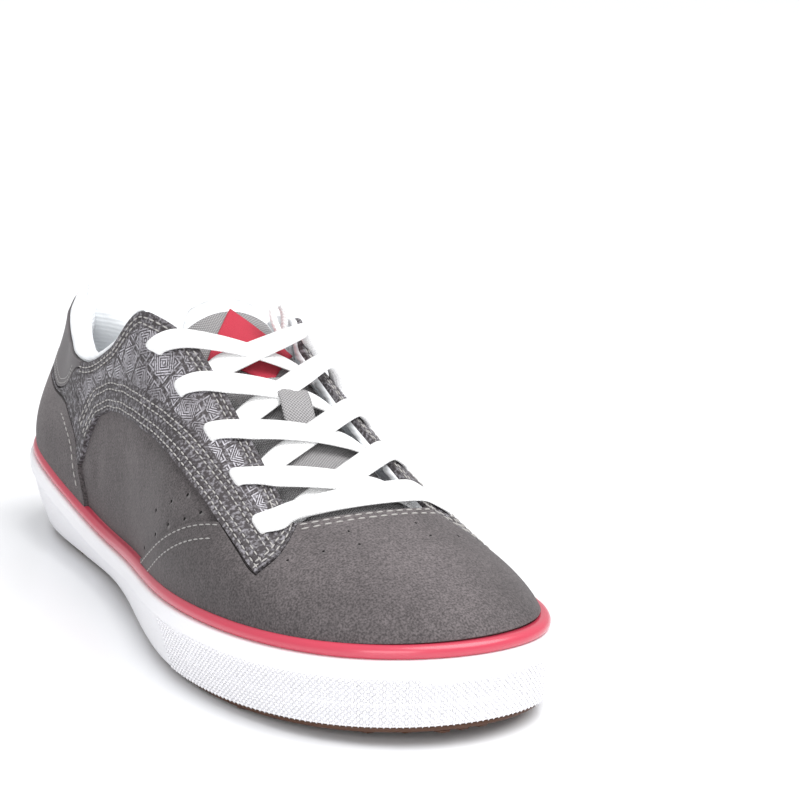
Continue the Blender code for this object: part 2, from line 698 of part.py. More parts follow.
def build_label(home):
    """The woven label, a rotated square on the tongue."""
    steps = np.linspace(-1, 1, 6)
    grid = np.zeros((len(steps), len(steps), 3))
    for i, a in enumerate(steps):
        for j, b in enumerate(steps):
            back = LABEL_BACK - (a + b) / 4 * LABEL_LENGTH
            side = LABEL_SIDE + (a - b) / 4 * LABEL_WIDTH
            across = side / tongue_column("half_width", back)
            grid[i, j] = tongue_point(back, across, LABEL_LIFT)
    shell("tongue_label", grid, LABEL_THICKNESS, "red_cloth", home)


def build_keeper(home):
    """The webbing loop along the tongue that the lace runs under."""
    grid = np.zeros((len(KEEPER), 3, 3))
    for i, (back, lift, side) in enumerate(KEEPER):
        for j, part in enumerate((-0.5, 0, 0.5)):
            across = (side * MM + KEEPER_WIDTH * part) / tongue_column("half_width", back * MM)
            grid[i, j] = tongue_point(back * MM, across, lift * MM)
    shell("lace_keeper", grid[:, ::-1], KEEPER_THICKNESS, "canvas", home)


def edge_place(back, side):
    """The place round the shoe where the throat's edge is at a distance from the heel end."""
    places = np.linspace(0.2, 0.4, 80)
    found = np.interp(back, read_round("open_back", places), places)
    return found if side < 0 else 1 - found


def eyelet_back(side, row):
    """An eyelet's distance from the heel end."""
    return along(0) - upper_point(*eyelet_place(side, row))[1]


def lace_landing(side, row, slant):
    """The lace where it lies on the eyestay, (steps, width, 3), from the throat's edge to the eyelet."""
    place, up = eyelet_place(side, row)
    part = np.linspace(0, 1, 4)[:, None]
    across = np.linspace(-0.5, 0.5, 3)
    at_edge = edge_place(eyelet_back(side, row) + slant + across * LACE_WIDTH, side)
    at_eyelet = place - side * across * LACE_WIDTH_ROUND
    ups = 0.995 + (up - LACE_PAST_EYELET - 0.995) * part
    out = PANEL_GAP + OVERLAY + LACE_LIFT + LACE_THICKNESS / 2
    places, ups = np.broadcast_arrays(at_edge + (at_eyelet - at_edge) * part, ups)
    return on_upper(places, ups, np.full(places.shape, out))


def lace_start(side, row):
    """The lace where it comes out from under the eyestay, (width, 3), just clear of the throat's edge."""
    across = np.linspace(-0.5, 0.5, 3)
    inward, down = LACE_UNDER_EDGE
    places = edge_place(eyelet_back(side, row) - LACE_SLANT + across * LACE_WIDTH, side)
    return upper_point(places, 1.0) - np.array([side * inward, 0, down])


def lace_between(first, last, crown, steps=7):
    """The lace's free stretch between two of its cross lines, a little arched."""
    part = np.linspace(0, 1, steps)[1:-1, None, None]
    arch = np.array([0, -0.38, 0.925]) * crown * 4 * part * (1 - part)
    return first + (last - first) * part + arch


def ribbon(name, grid, home):
    """A flat lace, from the grid of its middle surface."""
    strip = shell(name, grid, LACE_THICKNESS, "lace", home)
    strip.modifiers["wall"].offset = 0
    return strip


def crossing_run(side, row, crown):
    """One run of the lace, from under one side's eyestay to over the next eyelet of the other."""
    start = lace_start(side, row)
    landing = lace_landing(-side, row + 1, LACE_SLANT)
    return np.concatenate([start[None], lace_between(start, landing[0], crown), landing])


def build_laces(home, cutters):
    """The bottom bar and the four crossings, each crossing one solid, with the outer run on top."""
    outer, inner = lace_landing(-1, 0, 0)[::-1], lace_landing(1, 0, 0)
    bar = np.concatenate([outer, lace_between(outer[-1], inner[0], LACE_CROWN * 0.6), inner])
    ribbon("lace_bar_1", bar, home)
    for row in range(len(EYELETS) - 1):
        low = ribbon(f"lace_crossing_{row + 2}", crossing_run(-1, row, LACE_CROWN * 0.5), home)
        high = ribbon(f"lace_over_{row + 2}", crossing_run(1, row, LACE_CROWN * 0.8), cutters)
        high.hide_render = True
        high.display_type = "WIRE"
        join = low.modifiers.new("join", "BOOLEAN")
        join.operation = "UNION"
        join.object = high


def build_tail(home):
    """The lace's loose end, a small loop that stands up at the top inner eyelet."""
    curve = bpy.data.curves.new("lace_tail", "CURVE")
    curve.dimensions = "3D"
    curve.bevel_depth = TAIL_RADIUS
    curve.bevel_resolution = 2
    curve.use_fill_caps = True
    spline = curve.splines.new("POLY")
    spline.points.add(len(TAIL) - 1)
    for point, (side, back, height) in zip(spline.points, TAIL):
        point.co = (side * MM, along(back * MM), height * MM, 1)
    add_object("lace_tail", curve, "lace", home)


def main():
    for old in list(bpy.data.objects):
        bpy.data.objects.remove(old)
    home = collection("skateboarding_shoe")
    cutters = collection("cutters")
    build_outsole(home)
    build_cupsole(home)
    build_piping(home)
    build_insole(home)
    upper = build_upper(home)
    build_toe_cap(home)
    eyestay = build_eyestay(home)
    build_counter(home)
    build_heel_tab(home)
    build_padding(home)
    build_tongue(home)
    build_label(home)
    build_keeper(home)
    build_laces(home, cutters)
    build_tail(home)
    punch_eyelets([upper, eyestay], cutters)
    for piece in list(home.objects) + list(cutters.objects):
        piece.location -= Vector(BOX_MIDDLE)


if __name__ == "__main__":
    main()
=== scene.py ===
"""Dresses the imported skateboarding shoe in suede, patterned leather, rubber, canvas, lace and thread.

Laid out as an add-on and run as a script. Metres, +Z up, the toe along -Y, the foot's inner side +X.
Round the shoe a place runs from 0 at the heel over the outer side to 0.5 at the toe and on to 1.
Up the wall a height runs from 0 at the sole's rim to 1 at the edge of the collar and throat.
"""

import bmesh
import bpy
import numpy as np
from bpy.props import FloatProperty, FloatVectorProperty, PointerProperty
from mathutils import Matrix, Vector


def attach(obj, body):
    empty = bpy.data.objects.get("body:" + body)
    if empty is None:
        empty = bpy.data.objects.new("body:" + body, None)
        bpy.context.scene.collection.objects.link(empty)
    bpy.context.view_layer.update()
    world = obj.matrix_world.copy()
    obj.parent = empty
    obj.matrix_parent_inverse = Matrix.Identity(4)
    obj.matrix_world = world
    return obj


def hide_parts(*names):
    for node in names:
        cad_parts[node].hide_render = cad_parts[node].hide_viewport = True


bl_info = {
    "name": "Skateboarding Shoe",
    "version": (1, 0, 0),
    "blender": (4, 5, 0),
    "location": "View3D > Sidebar > Shoe",
    "description": "Builds the looks of a laced low-cut skateboarding shoe round its solid parts",
    "category": "Object",
}

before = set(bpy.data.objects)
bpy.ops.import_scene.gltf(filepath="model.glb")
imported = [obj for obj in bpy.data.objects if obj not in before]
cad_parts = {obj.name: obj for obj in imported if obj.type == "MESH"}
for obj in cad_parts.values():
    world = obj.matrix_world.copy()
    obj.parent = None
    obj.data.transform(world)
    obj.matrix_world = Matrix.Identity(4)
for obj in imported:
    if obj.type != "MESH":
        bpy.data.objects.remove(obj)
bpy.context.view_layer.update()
BODY = "root"
MM = 0.001

# The sizes that the solid parts were made with.
LENGTH = 300 * MM
BOX_MIDDLE = np.array([2.4, 1.09, 0]) * MM
GAP = 0.3 * MM
PANEL_GAP = 0.6 * MM
UPPER_WALL = 2.2 * MM
OVERLAY = 1.2 * MM
PADDING = 5.5 * MM
PADDING_RISE = 3.2 * MM
OUTSOLE = 2.6 * MM
OUTSOLE_INSET = 2.0 * MM
TOE_SPRING = 4.6 * MM
SPRING_START = 205 * MM
HEEL_BEVEL = 1.6 * MM
HEEL_BEVEL_LENGTH = 14 * MM
ARCH_RISE = 1.4 * MM
ARCH_MIDDLE = 122 * MM
ARCH_HALF_LENGTH = 40 * MM
CUP_FLOOR_TOE = 11 * MM
CUP_FLOOR_HEEL = 17 * MM
RIM_INSET = 4.6 * MM
BAND_HEIGHT = 5.2 * MM
PIPING_HEIGHT = 4.4 * MM
PIPING_INSET = 1.6 * MM
EYELET_RADIUS = 1.9 * MM

# How the lace lies. At an eyelet: its width round the shoe, how far it goes past, and how it dips in.
LACE_WIDTH_ROUND, LACE_PAST_EYELET, LACE_BITE, LACE_DEPTH = 0.0122, 0.035, 0.012, 4.2 * MM
# How far ahead of its eyelet it crosses the throat's edge, and behind it comes out from under the edge.
LACE_SLANT_OUTER, LACE_SLANT_INNER, LACE_BAR_SLANT = 8.5 * MM, 5.0 * MM, 2.5 * MM
LACE_START_OUTER, LACE_START_INNER = 1.8 * MM, 3.2 * MM
# How far inward and down from the edge it starts, and the way that its free part arches.
LACE_UNDER_EDGE = (2.6 * MM, 1.0 * MM)
LACE_ARCH = np.array([0, -0.38, 0.925])
ACROSS = np.linspace(-0.5, 0.5, 9)
# The loose lace at the inner side's eyelets, from the toe up: its height, its overhang and its thickness.
LACE_RISE = (0.5 * MM, 0.8 * MM, 1.6 * MM, 5.4 * MM, 7.2 * MM)
LACE_OVERHANG = (0, 0, 0.3 * MM, 0.2 * MM, -2.4 * MM)
LACE_ROLLED = (1.4 * MM, 1.6 * MM, 2.4 * MM, 3.8 * MM, 3.8 * MM)
TAIL_HALF_WIDTH, TAIL_HALF_THICKNESS, TAIL_FACING = 1.7 * MM, 1.25 * MM, np.array([0.55, 0.83, 0.0])

# The tongue's parts.
TONGUE_ROUNDING, TONGUE_EDGE = 3 * MM, 4.5 * MM
KEEPER_RIB = 1.3 * MM
KEEPER_WIDTH = 11.5 * MM
LABEL_LENGTH = 38 * MM
LABEL_WIDTH = 33 * MM
LABEL_BACK = 140.5 * MM
LABEL_SIDE = 1.5 * MM

# The sole's details: its side's knee, the step under its band, its grained rows, bead, lattice and tread.
KNEE, KNEE_INSET, BAND_STEP = 0.45, 0.7 * MM, 0.6 * MM
GRAINED_ROWS = (2, 10)
PIPING_CENTRE, PIPING_RADIUS = 1.9 * MM, 2.3 * MM
LATTICE_END, LATTICE_END_SLANT = 0.322, 0.016
TREAD_PITCH, TREAD_MARGIN = 6.5 * MM, 3.6 * MM
CUP_SLOPE_START, CUP_SLOPE_LENGTH = 60 * MM, 120 * MM

# The panels' details: rounded edges, rows of the toe cap, and ends of the pieces round the heel.
EDGE_ROUNDING, EDGE_ANGLE = 0.45 * MM, np.radians(50)
CAP_ROWS_BELOW, CAP_ROWS_ABOVE = 26, 30
COUNTER_END, TAB_END, STRIP_END = 0.156, 0.141, 0.0095
PADDING_ENDS = (-0.224, 0.2305)

# Stitched rows of the eyestay, in millimetres from its edges, and how far they keep off the next edge.
LOW_ROWS, LOW_ROWS_OFF = (1.5, 3.7, 7.6, 9.8), (1.6, 3.2, 4.4, 4.4)
THROAT_ROWS, END_ROWS = (1.9, 3.7), (1.6, 3.2)

# The printed tiles, in millimetres: size, waves of the two motifs, start of the print and slant.
TILE, NESTED_TURN, BARS_TURN = 12.4, 58.0, 66.0
PRINT_START_LOW, PRINT_START_TOP = (11.6, 12.0), (5.2, 5.6)
PATTERN_TURN = np.radians(25)
# Waves of the cloths: the lining's per metre, the lace's per millimetre.
LINING_TURN, LACE_BRAID_TURN, LACE_CORD_TURN = 3600.0, 5.2, 6.5

# Half the floor's width, and where the lights point.
FLOOR_HALF = 60
LIGHTS_AIM = (0, 0, 0.05)

# Steps for slopes round the sole and on the wall, and rounds of the halving.
PLACE_STEP, WALL_STEP, HALVINGS = 1e-4, 1e-3, 24

# How finely the visible pieces are divided: columns between two sections.
FINE = 10

# The last's sections, as the solid parts have them, in millimetres.
SECTION_COLUMNS = (
    "name", "back", "side", "rim", "undercut",
    "open_back", "open_side", "open_height", "lean", "rise", "reach", "drop",
)
SECTIONS = (
    ("heel", 0, 0, 33.5, 6.5, 1.5, 0, 87.0, 5.0, 18, -1.0, 20),
    ("heel corner out", 12, -25.0, 32.0, 7.0, 9.0, -8.0, 82.0, 4.5, 18, 3.0, 20),
    ("heel side out", 45, -36.5, 28.5, 7.5, 38, -19.0, 75.0, 3.5, 18, 5.0, 18),
    ("ankle out", 80, -38.0, 23.0, 7.5, 72, -28.0, 75.8, 3.0, 20, 4.0, 20),
    ("waist out", 112, -39.2, 19.6, 6.0, 101, -28.2, 86.5, 3.0, 25, 5.0, 22),
    ("instep out", 142, -42.6, 20.5, 4.0, 123, -24.2, 103.7, 3.5, 30, 6.0, 16),
    ("lower instep out", 168, -47.3, 21.8, 2.8, 147, -14.5, 92.3, 3.5, 34, 17.0, 9),
    ("ball out", 195, -51.4, 23.2, 2.2, 172, -14.0, 79.0, 3.0, 34, 17.0, 9.5),
    ("fore ball out", 225, -51.2, 24.6, 2.0, 203, -16.0, 65.8, 2.5, 30, 16.0, 10),
    ("toe side out", 258, -43.2, 26.0, 1.6, 231, -19.2, 54.2, 2.0, 18, 16.0, 7),
    ("toe corner out", 285, -25.5, 27.5, 1.2, 234, -9.0, 55.4, 1.5, 12, 28.0, 6),
    ("toe", 300, 8.0, 28.5, 1.0, 234.5, 4.5, 56.0, 1.0, 10, 34.0, 8),
    ("toe corner in", 289, 41.5, 27.5, 1.2, 234, 18.0, 55.4, 0.5, 9, 26.0, 7),
    ("toe side in", 258, 56.0, 26.0, 1.6, 231, 28.2, 54.2, 0.5, 11, 15.0, 8),
    ("fore ball in", 226, 55.0, 24.6, 2.0, 203, 26.0, 65.8, 1.0, 17, 14.0, 10),
    ("ball in", 195, 49.0, 23.2, 2.8, 172, 23.6, 79.0, 2.0, 26, 15.0, 9.5),
    ("lower instep in", 165, 42.4, 21.8, 4.0, 147, 23.5, 89.5, 3.5, 34, 14.0, 9),
    ("instep in", 137, 38.6, 20.5, 5.0, 127, 30.5, 98.0, 3.5, 30, 3.0, 16),
    ("waist in", 108, 37.5, 19.6, 6.0, 103, 31.0, 84.5, 3.0, 25, 3.0, 22),
    ("ankle in", 78, 38.5, 23.0, 7.5, 72, 28.5, 75.5, 3.0, 20, 4.0, 20),
    ("heel side in", 45, 37.5, 28.5, 7.5, 38, 19.5, 75.0, 3.5, 18, 5.0, 18),
    ("heel corner in", 12, 26.0, 32.0, 7.0, 9.0, 8.0, 82.0, 4.5, 18, 3.0, 20),
)

# Panel edges on one side, the same on both: hundredths of the place and of the height.
EYESTAY_LOW = (
    (0, 62), (8.4, 63), (11.7, 66.5), (13.3, 58.5), (14.3, 48.5), (14.8, 32), (15.7, 50),
    (16.4, 60), (17.2, 66), (18.7, 66.5), (20.4, 60), (22.6, 51.5), (24.8, 49), (29.4, 50.5),
    (32.8, 50.5), (34.3, 49), (36.7, 45.5), (38.5, 41),
)
EYESTAY_TIP = 38.5
EYESTAY_CORNER = 41.0
COUNTER_TOP = ((0, 60), (8.4, 61), (11.7, 64), (13.3, 56.5), (14.3, 46), (14.8, 30), (15.6, 11))
TAB_LOW = ((0, 66), (8.7, 66), (10.3, 71), (11.6, 78.5), (12.6, 88.5), (13.6, 95.5), (14.8, 97))
CAP_REAR = ((25.6, 4), (28.3, 13.5), (30, 21), (31.6, 29), (33, 37), (34.8, 48))
CAP_UNDER_EYESTAY = ((34.8, 48), (36.7, 44), (38.5, 39.5), (50, 45))
TOP_OF_WALL = 0.997
SEAM = 0.012
EYELETS = ((37.1, 72), (33.9, 78), (30.6, 79), (26.9, 78), (24.2, 85))

# Small holes of one side: place and height in hundredths, behind the cap's seam and on the vamp.
QUARTER_HOLES = (
    (31.2, 44.3), (29.8, 35.3), (27.9, 26.4), (32.9, 43.7), (31.7, 34.3), (30.0, 26.1),
    (28.2, 18.1), (25.9, 9.4),
)
VAMP_HOLES = ((40.7, 64.6), (43.5, 74.6), (46.6, 80.1), (46.3, 88.9))

TONGUE_COLUMNS = ("back", "height", "half_width", "fall", "thickness", "middle")
TONGUE = (
    (245, 49.6, 20, 3.0, 2.6, 4.5),
    (230, 55.3, 22, 3.6, 2.8, 4.5),
    (205, 63.8, 22.5, 5.3, 3.2, 4.5),
    (180, 73.5, 22, 6.0, 3.6, 4.6),
    (155, 84.5, 21.5, 6.0, 4.2, 5.0),
    (138, 92.8, 20.5, 6.5, 5.0, 5.6),
    (124, 100.0, 19.0, 7.0, 5.5, 6.0),
    (116, 105.0, 14, 4.0, 4.0, 6.6),
)
# The webbing loop: distance from the heel end, lift off the tongue, and side.
KEEPER = (
    (191, 0.3, 0.5), (187.5, 0.5, 0.8), (184, 2.6, 1.2), (180, 5.2, 1.8), (176, 6.2, 2.6),
    (172, 5.8, 3.4), (168.5, 4.2, 4.0), (165.5, 2.2, 4.4), (162.5, 1.2, 4.6), (158, 0.9, 4.6),
)
# The loose end's route: side, distance from the heel end, and height.
TAIL = (
    (19.5, 145.0, 93.9), (19.0, 142.4, 94.6), (18.0, 139.8, 97.2), (17.2, 137.8, 100.6),
    (17.6, 136.2, 103.6), (19.6, 134.8, 105.4), (22.0, 133.6, 104.4), (23.4, 133.0, 101.4),
    (23.6, 133.0, 98.0), (23.2, 133.2, 94.6), (23.0, 133.4, 91.8),
)

# The camera: where it stands, its directions to the right, down and ahead, its lens and sensor.
CAMERA_PLACE = np.array([-356.884, -766.310, 278.660]) * MM - BOX_MIDDLE
CAMERA_RIGHT = (0.880174, -0.473926, 0.026211)
CAMERA_DOWN = (-0.087621, -0.216505, -0.972342)
CAMERA_FORWARD = (0.466493, 0.853534, -0.232088)
CAMERA_LENS = 112.64
CAMERA_SENSOR = 36.0


# The last and its surface.


def unit(vectors):
    """Vectors of the same directions, each one long."""
    return vectors / np.linalg.norm(vectors, axis=-1, keepdims=True)


def run_along(line):
    """The distance run along a line at each of its points."""
    return np.concatenate([[0], np.cumsum(np.linalg.norm(np.diff(line, axis=0), axis=-1))])


def one_shape(*values):
    """Values as arrays of one shape."""
    return np.broadcast_arrays(*(np.asarray(value, float) for value in values))


def section_column(name):
    """One column of the sections, in metres."""
    place = SECTION_COLUMNS.index(name)
    return np.array([row[place] for row in SECTIONS], float) * MM


def section_places():
    """Each section's place round the shoe, by length along the sole: 0 at the heel, 0.5 at the toe."""
    back, side = section_column("back"), section_column("side")
    steps = np.hypot(np.diff(back, append=back[0]), np.diff(side, append=side[0]))
    run = np.concatenate([[0.0], np.cumsum(steps)])
    toe = [row[0] for row in SECTIONS].index("toe")
    outer = 0.5 * run[: toe + 1] / run[toe]
    inner = 0.5 + 0.5 * (run[toe + 1:] - run[toe]) / (run[-1] - run[toe])
    return np.concatenate([outer, inner])


PLACES = section_places()


def fine_columns():
    """Places of the columns of a piece that goes all the way round."""
    part = np.arange(FINE) / FINE
    return (PLACES[:-1, None] + np.diff(PLACES)[:, None] * part).ravel()


def smooth_slopes(values, h):
    """Slopes of the closed curve through the values whose curvature has no jumps."""
    count = len(values)
    rise = (np.roll(values, -1) - values) / h
    matrix = np.zeros((count, count))
    target = np.zeros(count)
    for i in range(count):
        before, after = h[i - 1], h[i]
        matrix[i, i - 1] += after
        matrix[i, i] += 2 * (before + after)
        matrix[i, (i + 1) % count] += before
        target[i] = 3 * (after * rise[i - 1] + before * rise[i])
    return np.linalg.solve(matrix, target)


def gentle_slope(before, after):
    """A slope between two others that never lets the curve pass beyond its values."""
    total = np.where(before + after == 0, 1, before + after)
    return np.where(before * after > 0, 2 * before * after / total, 0)


def tight_slopes(values, h):
    """Slopes that never let the closed curve pass beyond the values, as at the throat's corners."""
    rise = (np.roll(values, -1) - values) / h
    return gentle_slope(np.roll(rise, 1), rise)


def closed_curves():
    """Values and slopes of every column of the sections: the edge's columns turn tight corners."""
    h = np.diff(PLACES)
    curves = {}
    for name in SECTION_COLUMNS[1:]:
        values = section_column(name)
        find = tight_slopes if name.startswith("open") else smooth_slopes
        curves[name] = (values, find(values, h))
    return curves


CURVES = closed_curves()


def curve_between(values, slopes, h, i, j, t):
    """A curve's value at the part t of the step from value i to value j."""
    s = 1 - t
    ends = values[i] * s * s * (1 + 2 * t) + values[j] * t * t * (1 + 2 * s)
    return ends + h[i] * s * t * (slopes[i] * s - slopes[j] * t)


def read_round(name, at):
    """A column of the sections, read at places round the shoe."""
    values, slopes = CURVES[name]
    h = np.diff(PLACES)
    at = np.mod(np.asarray(at, float), 1.0)
    i = np.clip(np.searchsorted(PLACES, at, side="right") - 1, 0, len(values) - 1)
    return curve_between(values, slopes, h, i, (i + 1) % len(values), (at - PLACES[i]) / h[i])


def along(back):
    """Y of a distance from the heel end, or the distance of a Y."""
    return LENGTH / 2 - back


def outline(at, inset=0.0):
    """The sole's widest line seen from above, moved in by an inset, and its outward direction."""
    def line(places):
        return np.stack([read_round("side", places), along(read_round("back", places))], -1)

    tangent = unit(line(at + PLACE_STEP) - line(at - PLACE_STEP))
    inward = np.stack([-tangent[..., 1], tangent[..., 0]], -1)
    inset = np.broadcast_to(np.asarray(inset, float), np.shape(at))
    return line(at) + inward * inset[..., None], -inward


def upper_point(at, up):
    """Outer surface of the upper at places and heights."""
    at, up = one_shape(at, up)
    foot_plan, outward = outline(at, RIM_INSET + GAP)
    foot = np.concatenate([foot_plan, read_round("rim", at)[..., None]], -1)
    edge_back = along(read_round("open_back", at))
    edge = np.stack([read_round("open_side", at), edge_back, read_round("open_height", at)], -1)
    away = unit(foot_plan - edge[..., :2])
    lean, rise, reach, drop = (read_round(name, at)[..., None] for name in ("lean", "rise", "reach", "drop"))
    low = foot + np.concatenate([outward * lean, rise], -1)
    high = edge + np.concatenate([away * reach, -drop], -1)
    t = up[..., None]
    s = 1 - t
    return s**3 * foot + 3 * s * s * t * low + 3 * s * t * t * high + t**3 * edge


def upper_normal(at, up):
    """Outward direction of the upper's surface."""
    at, up = one_shape(at, up)
    round_way = upper_point(at + WALL_STEP, up) - upper_point(at - WALL_STEP, up)
    up_way = upper_point(at, up + WALL_STEP) - upper_point(at, up - WALL_STEP)
    return unit(np.cross(round_way, up_way))


def on_upper(at, up, out=0.0):
    """A point of the upper's outer surface, moved out along its normal."""
    at, up, out = one_shape(at, up, out)
    return upper_point(at, up) + upper_normal(at, up) * out[..., None]


def up_at_height(at, height):
    """How far up the wall it reaches a height, by halving."""
    at, height = one_shape(at, height)
    low, high = np.zeros(at.shape), np.ones(at.shape)
    for _ in range(HALVINGS):
        middle = (low + high) / 2
        under = upper_point(at, middle)[..., 2] < height
        low = np.where(under, middle, low)
        high = np.where(under, high, middle)
    return (low + high) / 2


def panel_line(at, line):
    """How far up the wall a panel's edge runs, on either side of the shoe."""
    points = np.array(line, float) / 100
    at = np.mod(np.asarray(at, float), 1.0)
    return smooth_through(points[:, 0], points[:, 1], np.minimum(at, 1 - at), tight=True)


def smooth_through(steps, values, at, tight=False):
    """A smooth curve through values, held at its ends; a tight one never passes beyond them."""
    h = np.diff(steps)
    rise = np.diff(values) / h
    before, after = rise[:-1], rise[1:]
    if tight:
        inner = gentle_slope(before, after)
    else:
        inner = (before * h[1:] + after * h[:-1]) / (h[1:] + h[:-1])
    slopes = np.concatenate([rise[:1], inner, rise[-1:]])
    at = np.clip(np.asarray(at, float), steps[0], steps[-1])
    i = np.clip(np.searchsorted(steps, at, side="right") - 1, 0, len(steps) - 2)
    return curve_between(values, slopes, h, i, i + 1, (at - steps[i]) / h[i])


def beside_line(places, ups, distance):
    """A line on the wall, moved sideways on the surface by a distance: to its left, looking along it."""
    here = upper_point(places, ups)
    sideways = np.cross(upper_normal(places, ups), unit(np.gradient(here, axis=0))) * distance
    by_place = (upper_point(places + WALL_STEP, ups) - here) / WALL_STEP
    by_up = (upper_point(places, ups + WALL_STEP) - here) / WALL_STEP
    a, b, c = ((by_place**2).sum(-1), (by_place * by_up).sum(-1), (by_up**2).sum(-1))
    p, q = (by_place * sideways).sum(-1), (by_up * sideways).sum(-1)
    scale = a * c - b * b
    return places + (p * c - q * b) / scale, ups + (q * a - p * b) / scale


def floor_height(back):
    """Height of the sole's underside over the floor: flat under heel and ball, raised between."""
    back = np.asarray(back, float)
    toe = TOE_SPRING * (np.clip(back - SPRING_START, 0, None) / (LENGTH - SPRING_START)) ** 2
    heel = HEEL_BEVEL * (np.clip(HEEL_BEVEL_LENGTH - back, 0, None) / HEEL_BEVEL_LENGTH) ** 2
    place = np.clip(np.abs(back - ARCH_MIDDLE) / ARCH_HALF_LENGTH, 0, 1)
    return toe + heel + ARCH_RISE * (1 - place**2) ** 2


def cup_floor(back):
    """Height of the floor inside the sole's cup, higher under the heel."""
    slope = np.clip((np.asarray(back, float) - CUP_SLOPE_START) / CUP_SLOPE_LENGTH, 0, 1)
    ease = slope * slope * (3 - 2 * slope)
    return floor_height(back) + CUP_FLOOR_HEEL + (CUP_FLOOR_TOE - CUP_FLOOR_HEEL) * ease


def at_heights(plan, heights):
    """Points of a plan raised to their heights."""
    return np.concatenate([plan, np.broadcast_to(heights, plan.shape[:1])[:, None]], 1)


# Materials, made of nodes.


class Finish:
    """Builds one material, step by step, on its Principled shader."""

    def __init__(self, name, colour, rough, **sockets):
        self.material = bpy.data.materials.new(name)
        self.material.use_nodes = True
        self.tree = self.material.node_tree
        self.shader = self.tree.nodes["Principled BSDF"]
        self.shader.inputs["Base Color"].default_value = (*colour, 1)
        self.shader.inputs["Roughness"].default_value = rough
        for socket, value in sockets.items():
            self.shader.inputs[socket.replace("_", " ")].default_value = value
        self.material.diffuse_color = (*colour, 1)
        self.coordinates = self.tree.nodes.new("ShaderNodeTexCoord")
        self.height = None

    def node(self, kind, **values):
        """A new node, its sockets set by name and its settings by attribute."""
        made = self.tree.nodes.new(f"ShaderNode{kind}")
        for name, value in values.items():
            label = name.replace("_", " ")
            if label in made.inputs:
                self.put(value, made.inputs[label])
            else:
                setattr(made, name, value)
        return made

    def put(self, value, socket):
        """Sets a socket to a number, or links it."""
        if isinstance(value, bpy.types.NodeSocket):
            self.tree.links.new(value, socket)
        else:
            socket.default_value = value

    def math(self, operation, first, second=0.0):
        """The result of a Math node."""
        made = self.node("Math", operation=operation)
        self.put(first, made.inputs[0])
        self.put(second, made.inputs[1])
        return made.outputs[0]

    def times(self, *values):
        """The product of two or more values."""
        product = values[0]
        for value in values[1:]:
            product = self.math("MULTIPLY", product, value)
        return product

    def wave(self, value, turn):
        """The sine of a value times a number."""
        return self.math("SINE", self.times(value, turn))

    def place(self):
        """The three Object coordinates, in metres."""
        return self.node("SeparateXYZ", Vector=self.coordinates.outputs["Object"]).outputs

    def noise(self, scale, detail=2.0, stretch=None):
        """Noise on Object coordinates."""
        where = self.coordinates.outputs["Object"]
        if stretch:
            where = self.node("Mapping", Vector=where, Scale=stretch).outputs[0]
        return self.node("TexNoise", Vector=where, Scale=scale, Detail=detail).outputs[0]

    def cells(self, scale, **settings):
        """Distances in a pattern of cells on Object coordinates."""
        where = self.coordinates.outputs["Object"]
        return self.node("TexVoronoi", Vector=where, Scale=scale, **settings).outputs["Distance"]

    def ramp(self, value, low, high, start=0.0, end=1.0):
        """A value mapped between two others, held at its ends."""
        ends = {"From_Min": low, "From_Max": high, "To_Min": start, "To_Max": end}
        return self.node("MapRange", Value=value, **ends).outputs[0]

    def blend(self, factor, first, second):
        """A colour between two, by a factor."""
        made = self.node("Mix", data_type="RGBA", Factor=factor)
        made.inputs[6].default_value = (*first, 1)
        made.inputs[7].default_value = (*second, 1)
        return made.outputs[2]

    def colour(self, value):
        """Links the base colour."""
        self.put(value, self.shader.inputs["Base Color"])

    def bump(self, height, depth, strength=1.0):
        """Adds a layer of bump of a real depth, in millimetres, over the ones before."""
        made = self.node("Bump", Height=height, Distance=depth * MM, Strength=strength)
        if self.height:
            self.put(self.height, made.inputs["Normal"])
        self.height = made.outputs[0]
        self.put(self.height, self.shader.inputs["Normal"])

    def grain(self, scale, detail, depth, strength):
        """Adds a layer of bump made of noise."""
        self.bump(self.noise(scale, detail), depth, strength)

    def surface(self, uv_map="surface"):
        """The two coordinates of one of the piece's UV maps, in millimetres."""
        mapped = self.node("VectorMath", operation="SCALE", Scale=1 / MM)
        self.put(self.node("UVMap", uv_map=uv_map).outputs[0], mapped.inputs[0])
        return self.node("SeparateXYZ", Vector=mapped.outputs[0]).outputs[:2]

    def seams(self, distance, rows, reach=0.75):
        """One at each stitched row's distance from an edge, falling to zero beside it."""
        total = None
        for row in rows:
            apart = self.math("ABSOLUTE", self.math("SUBTRACT", distance, row))
            dent = self.ramp(apart, 0.0, reach, 1.0, 0.0)
            total = dent if total is None else self.math("MAXIMUM", total, dent)
        return total

    def weave(self, pitch):
        """Height of a plain weave over the piece's surface, its pitch in millimetres."""
        u, v = self.surface()
        return self.times(self.wave(u, np.pi / pitch), self.wave(v, np.pi / pitch))


def lookup(name):
    """A material that was made before."""
    return bpy.data.materials[name]


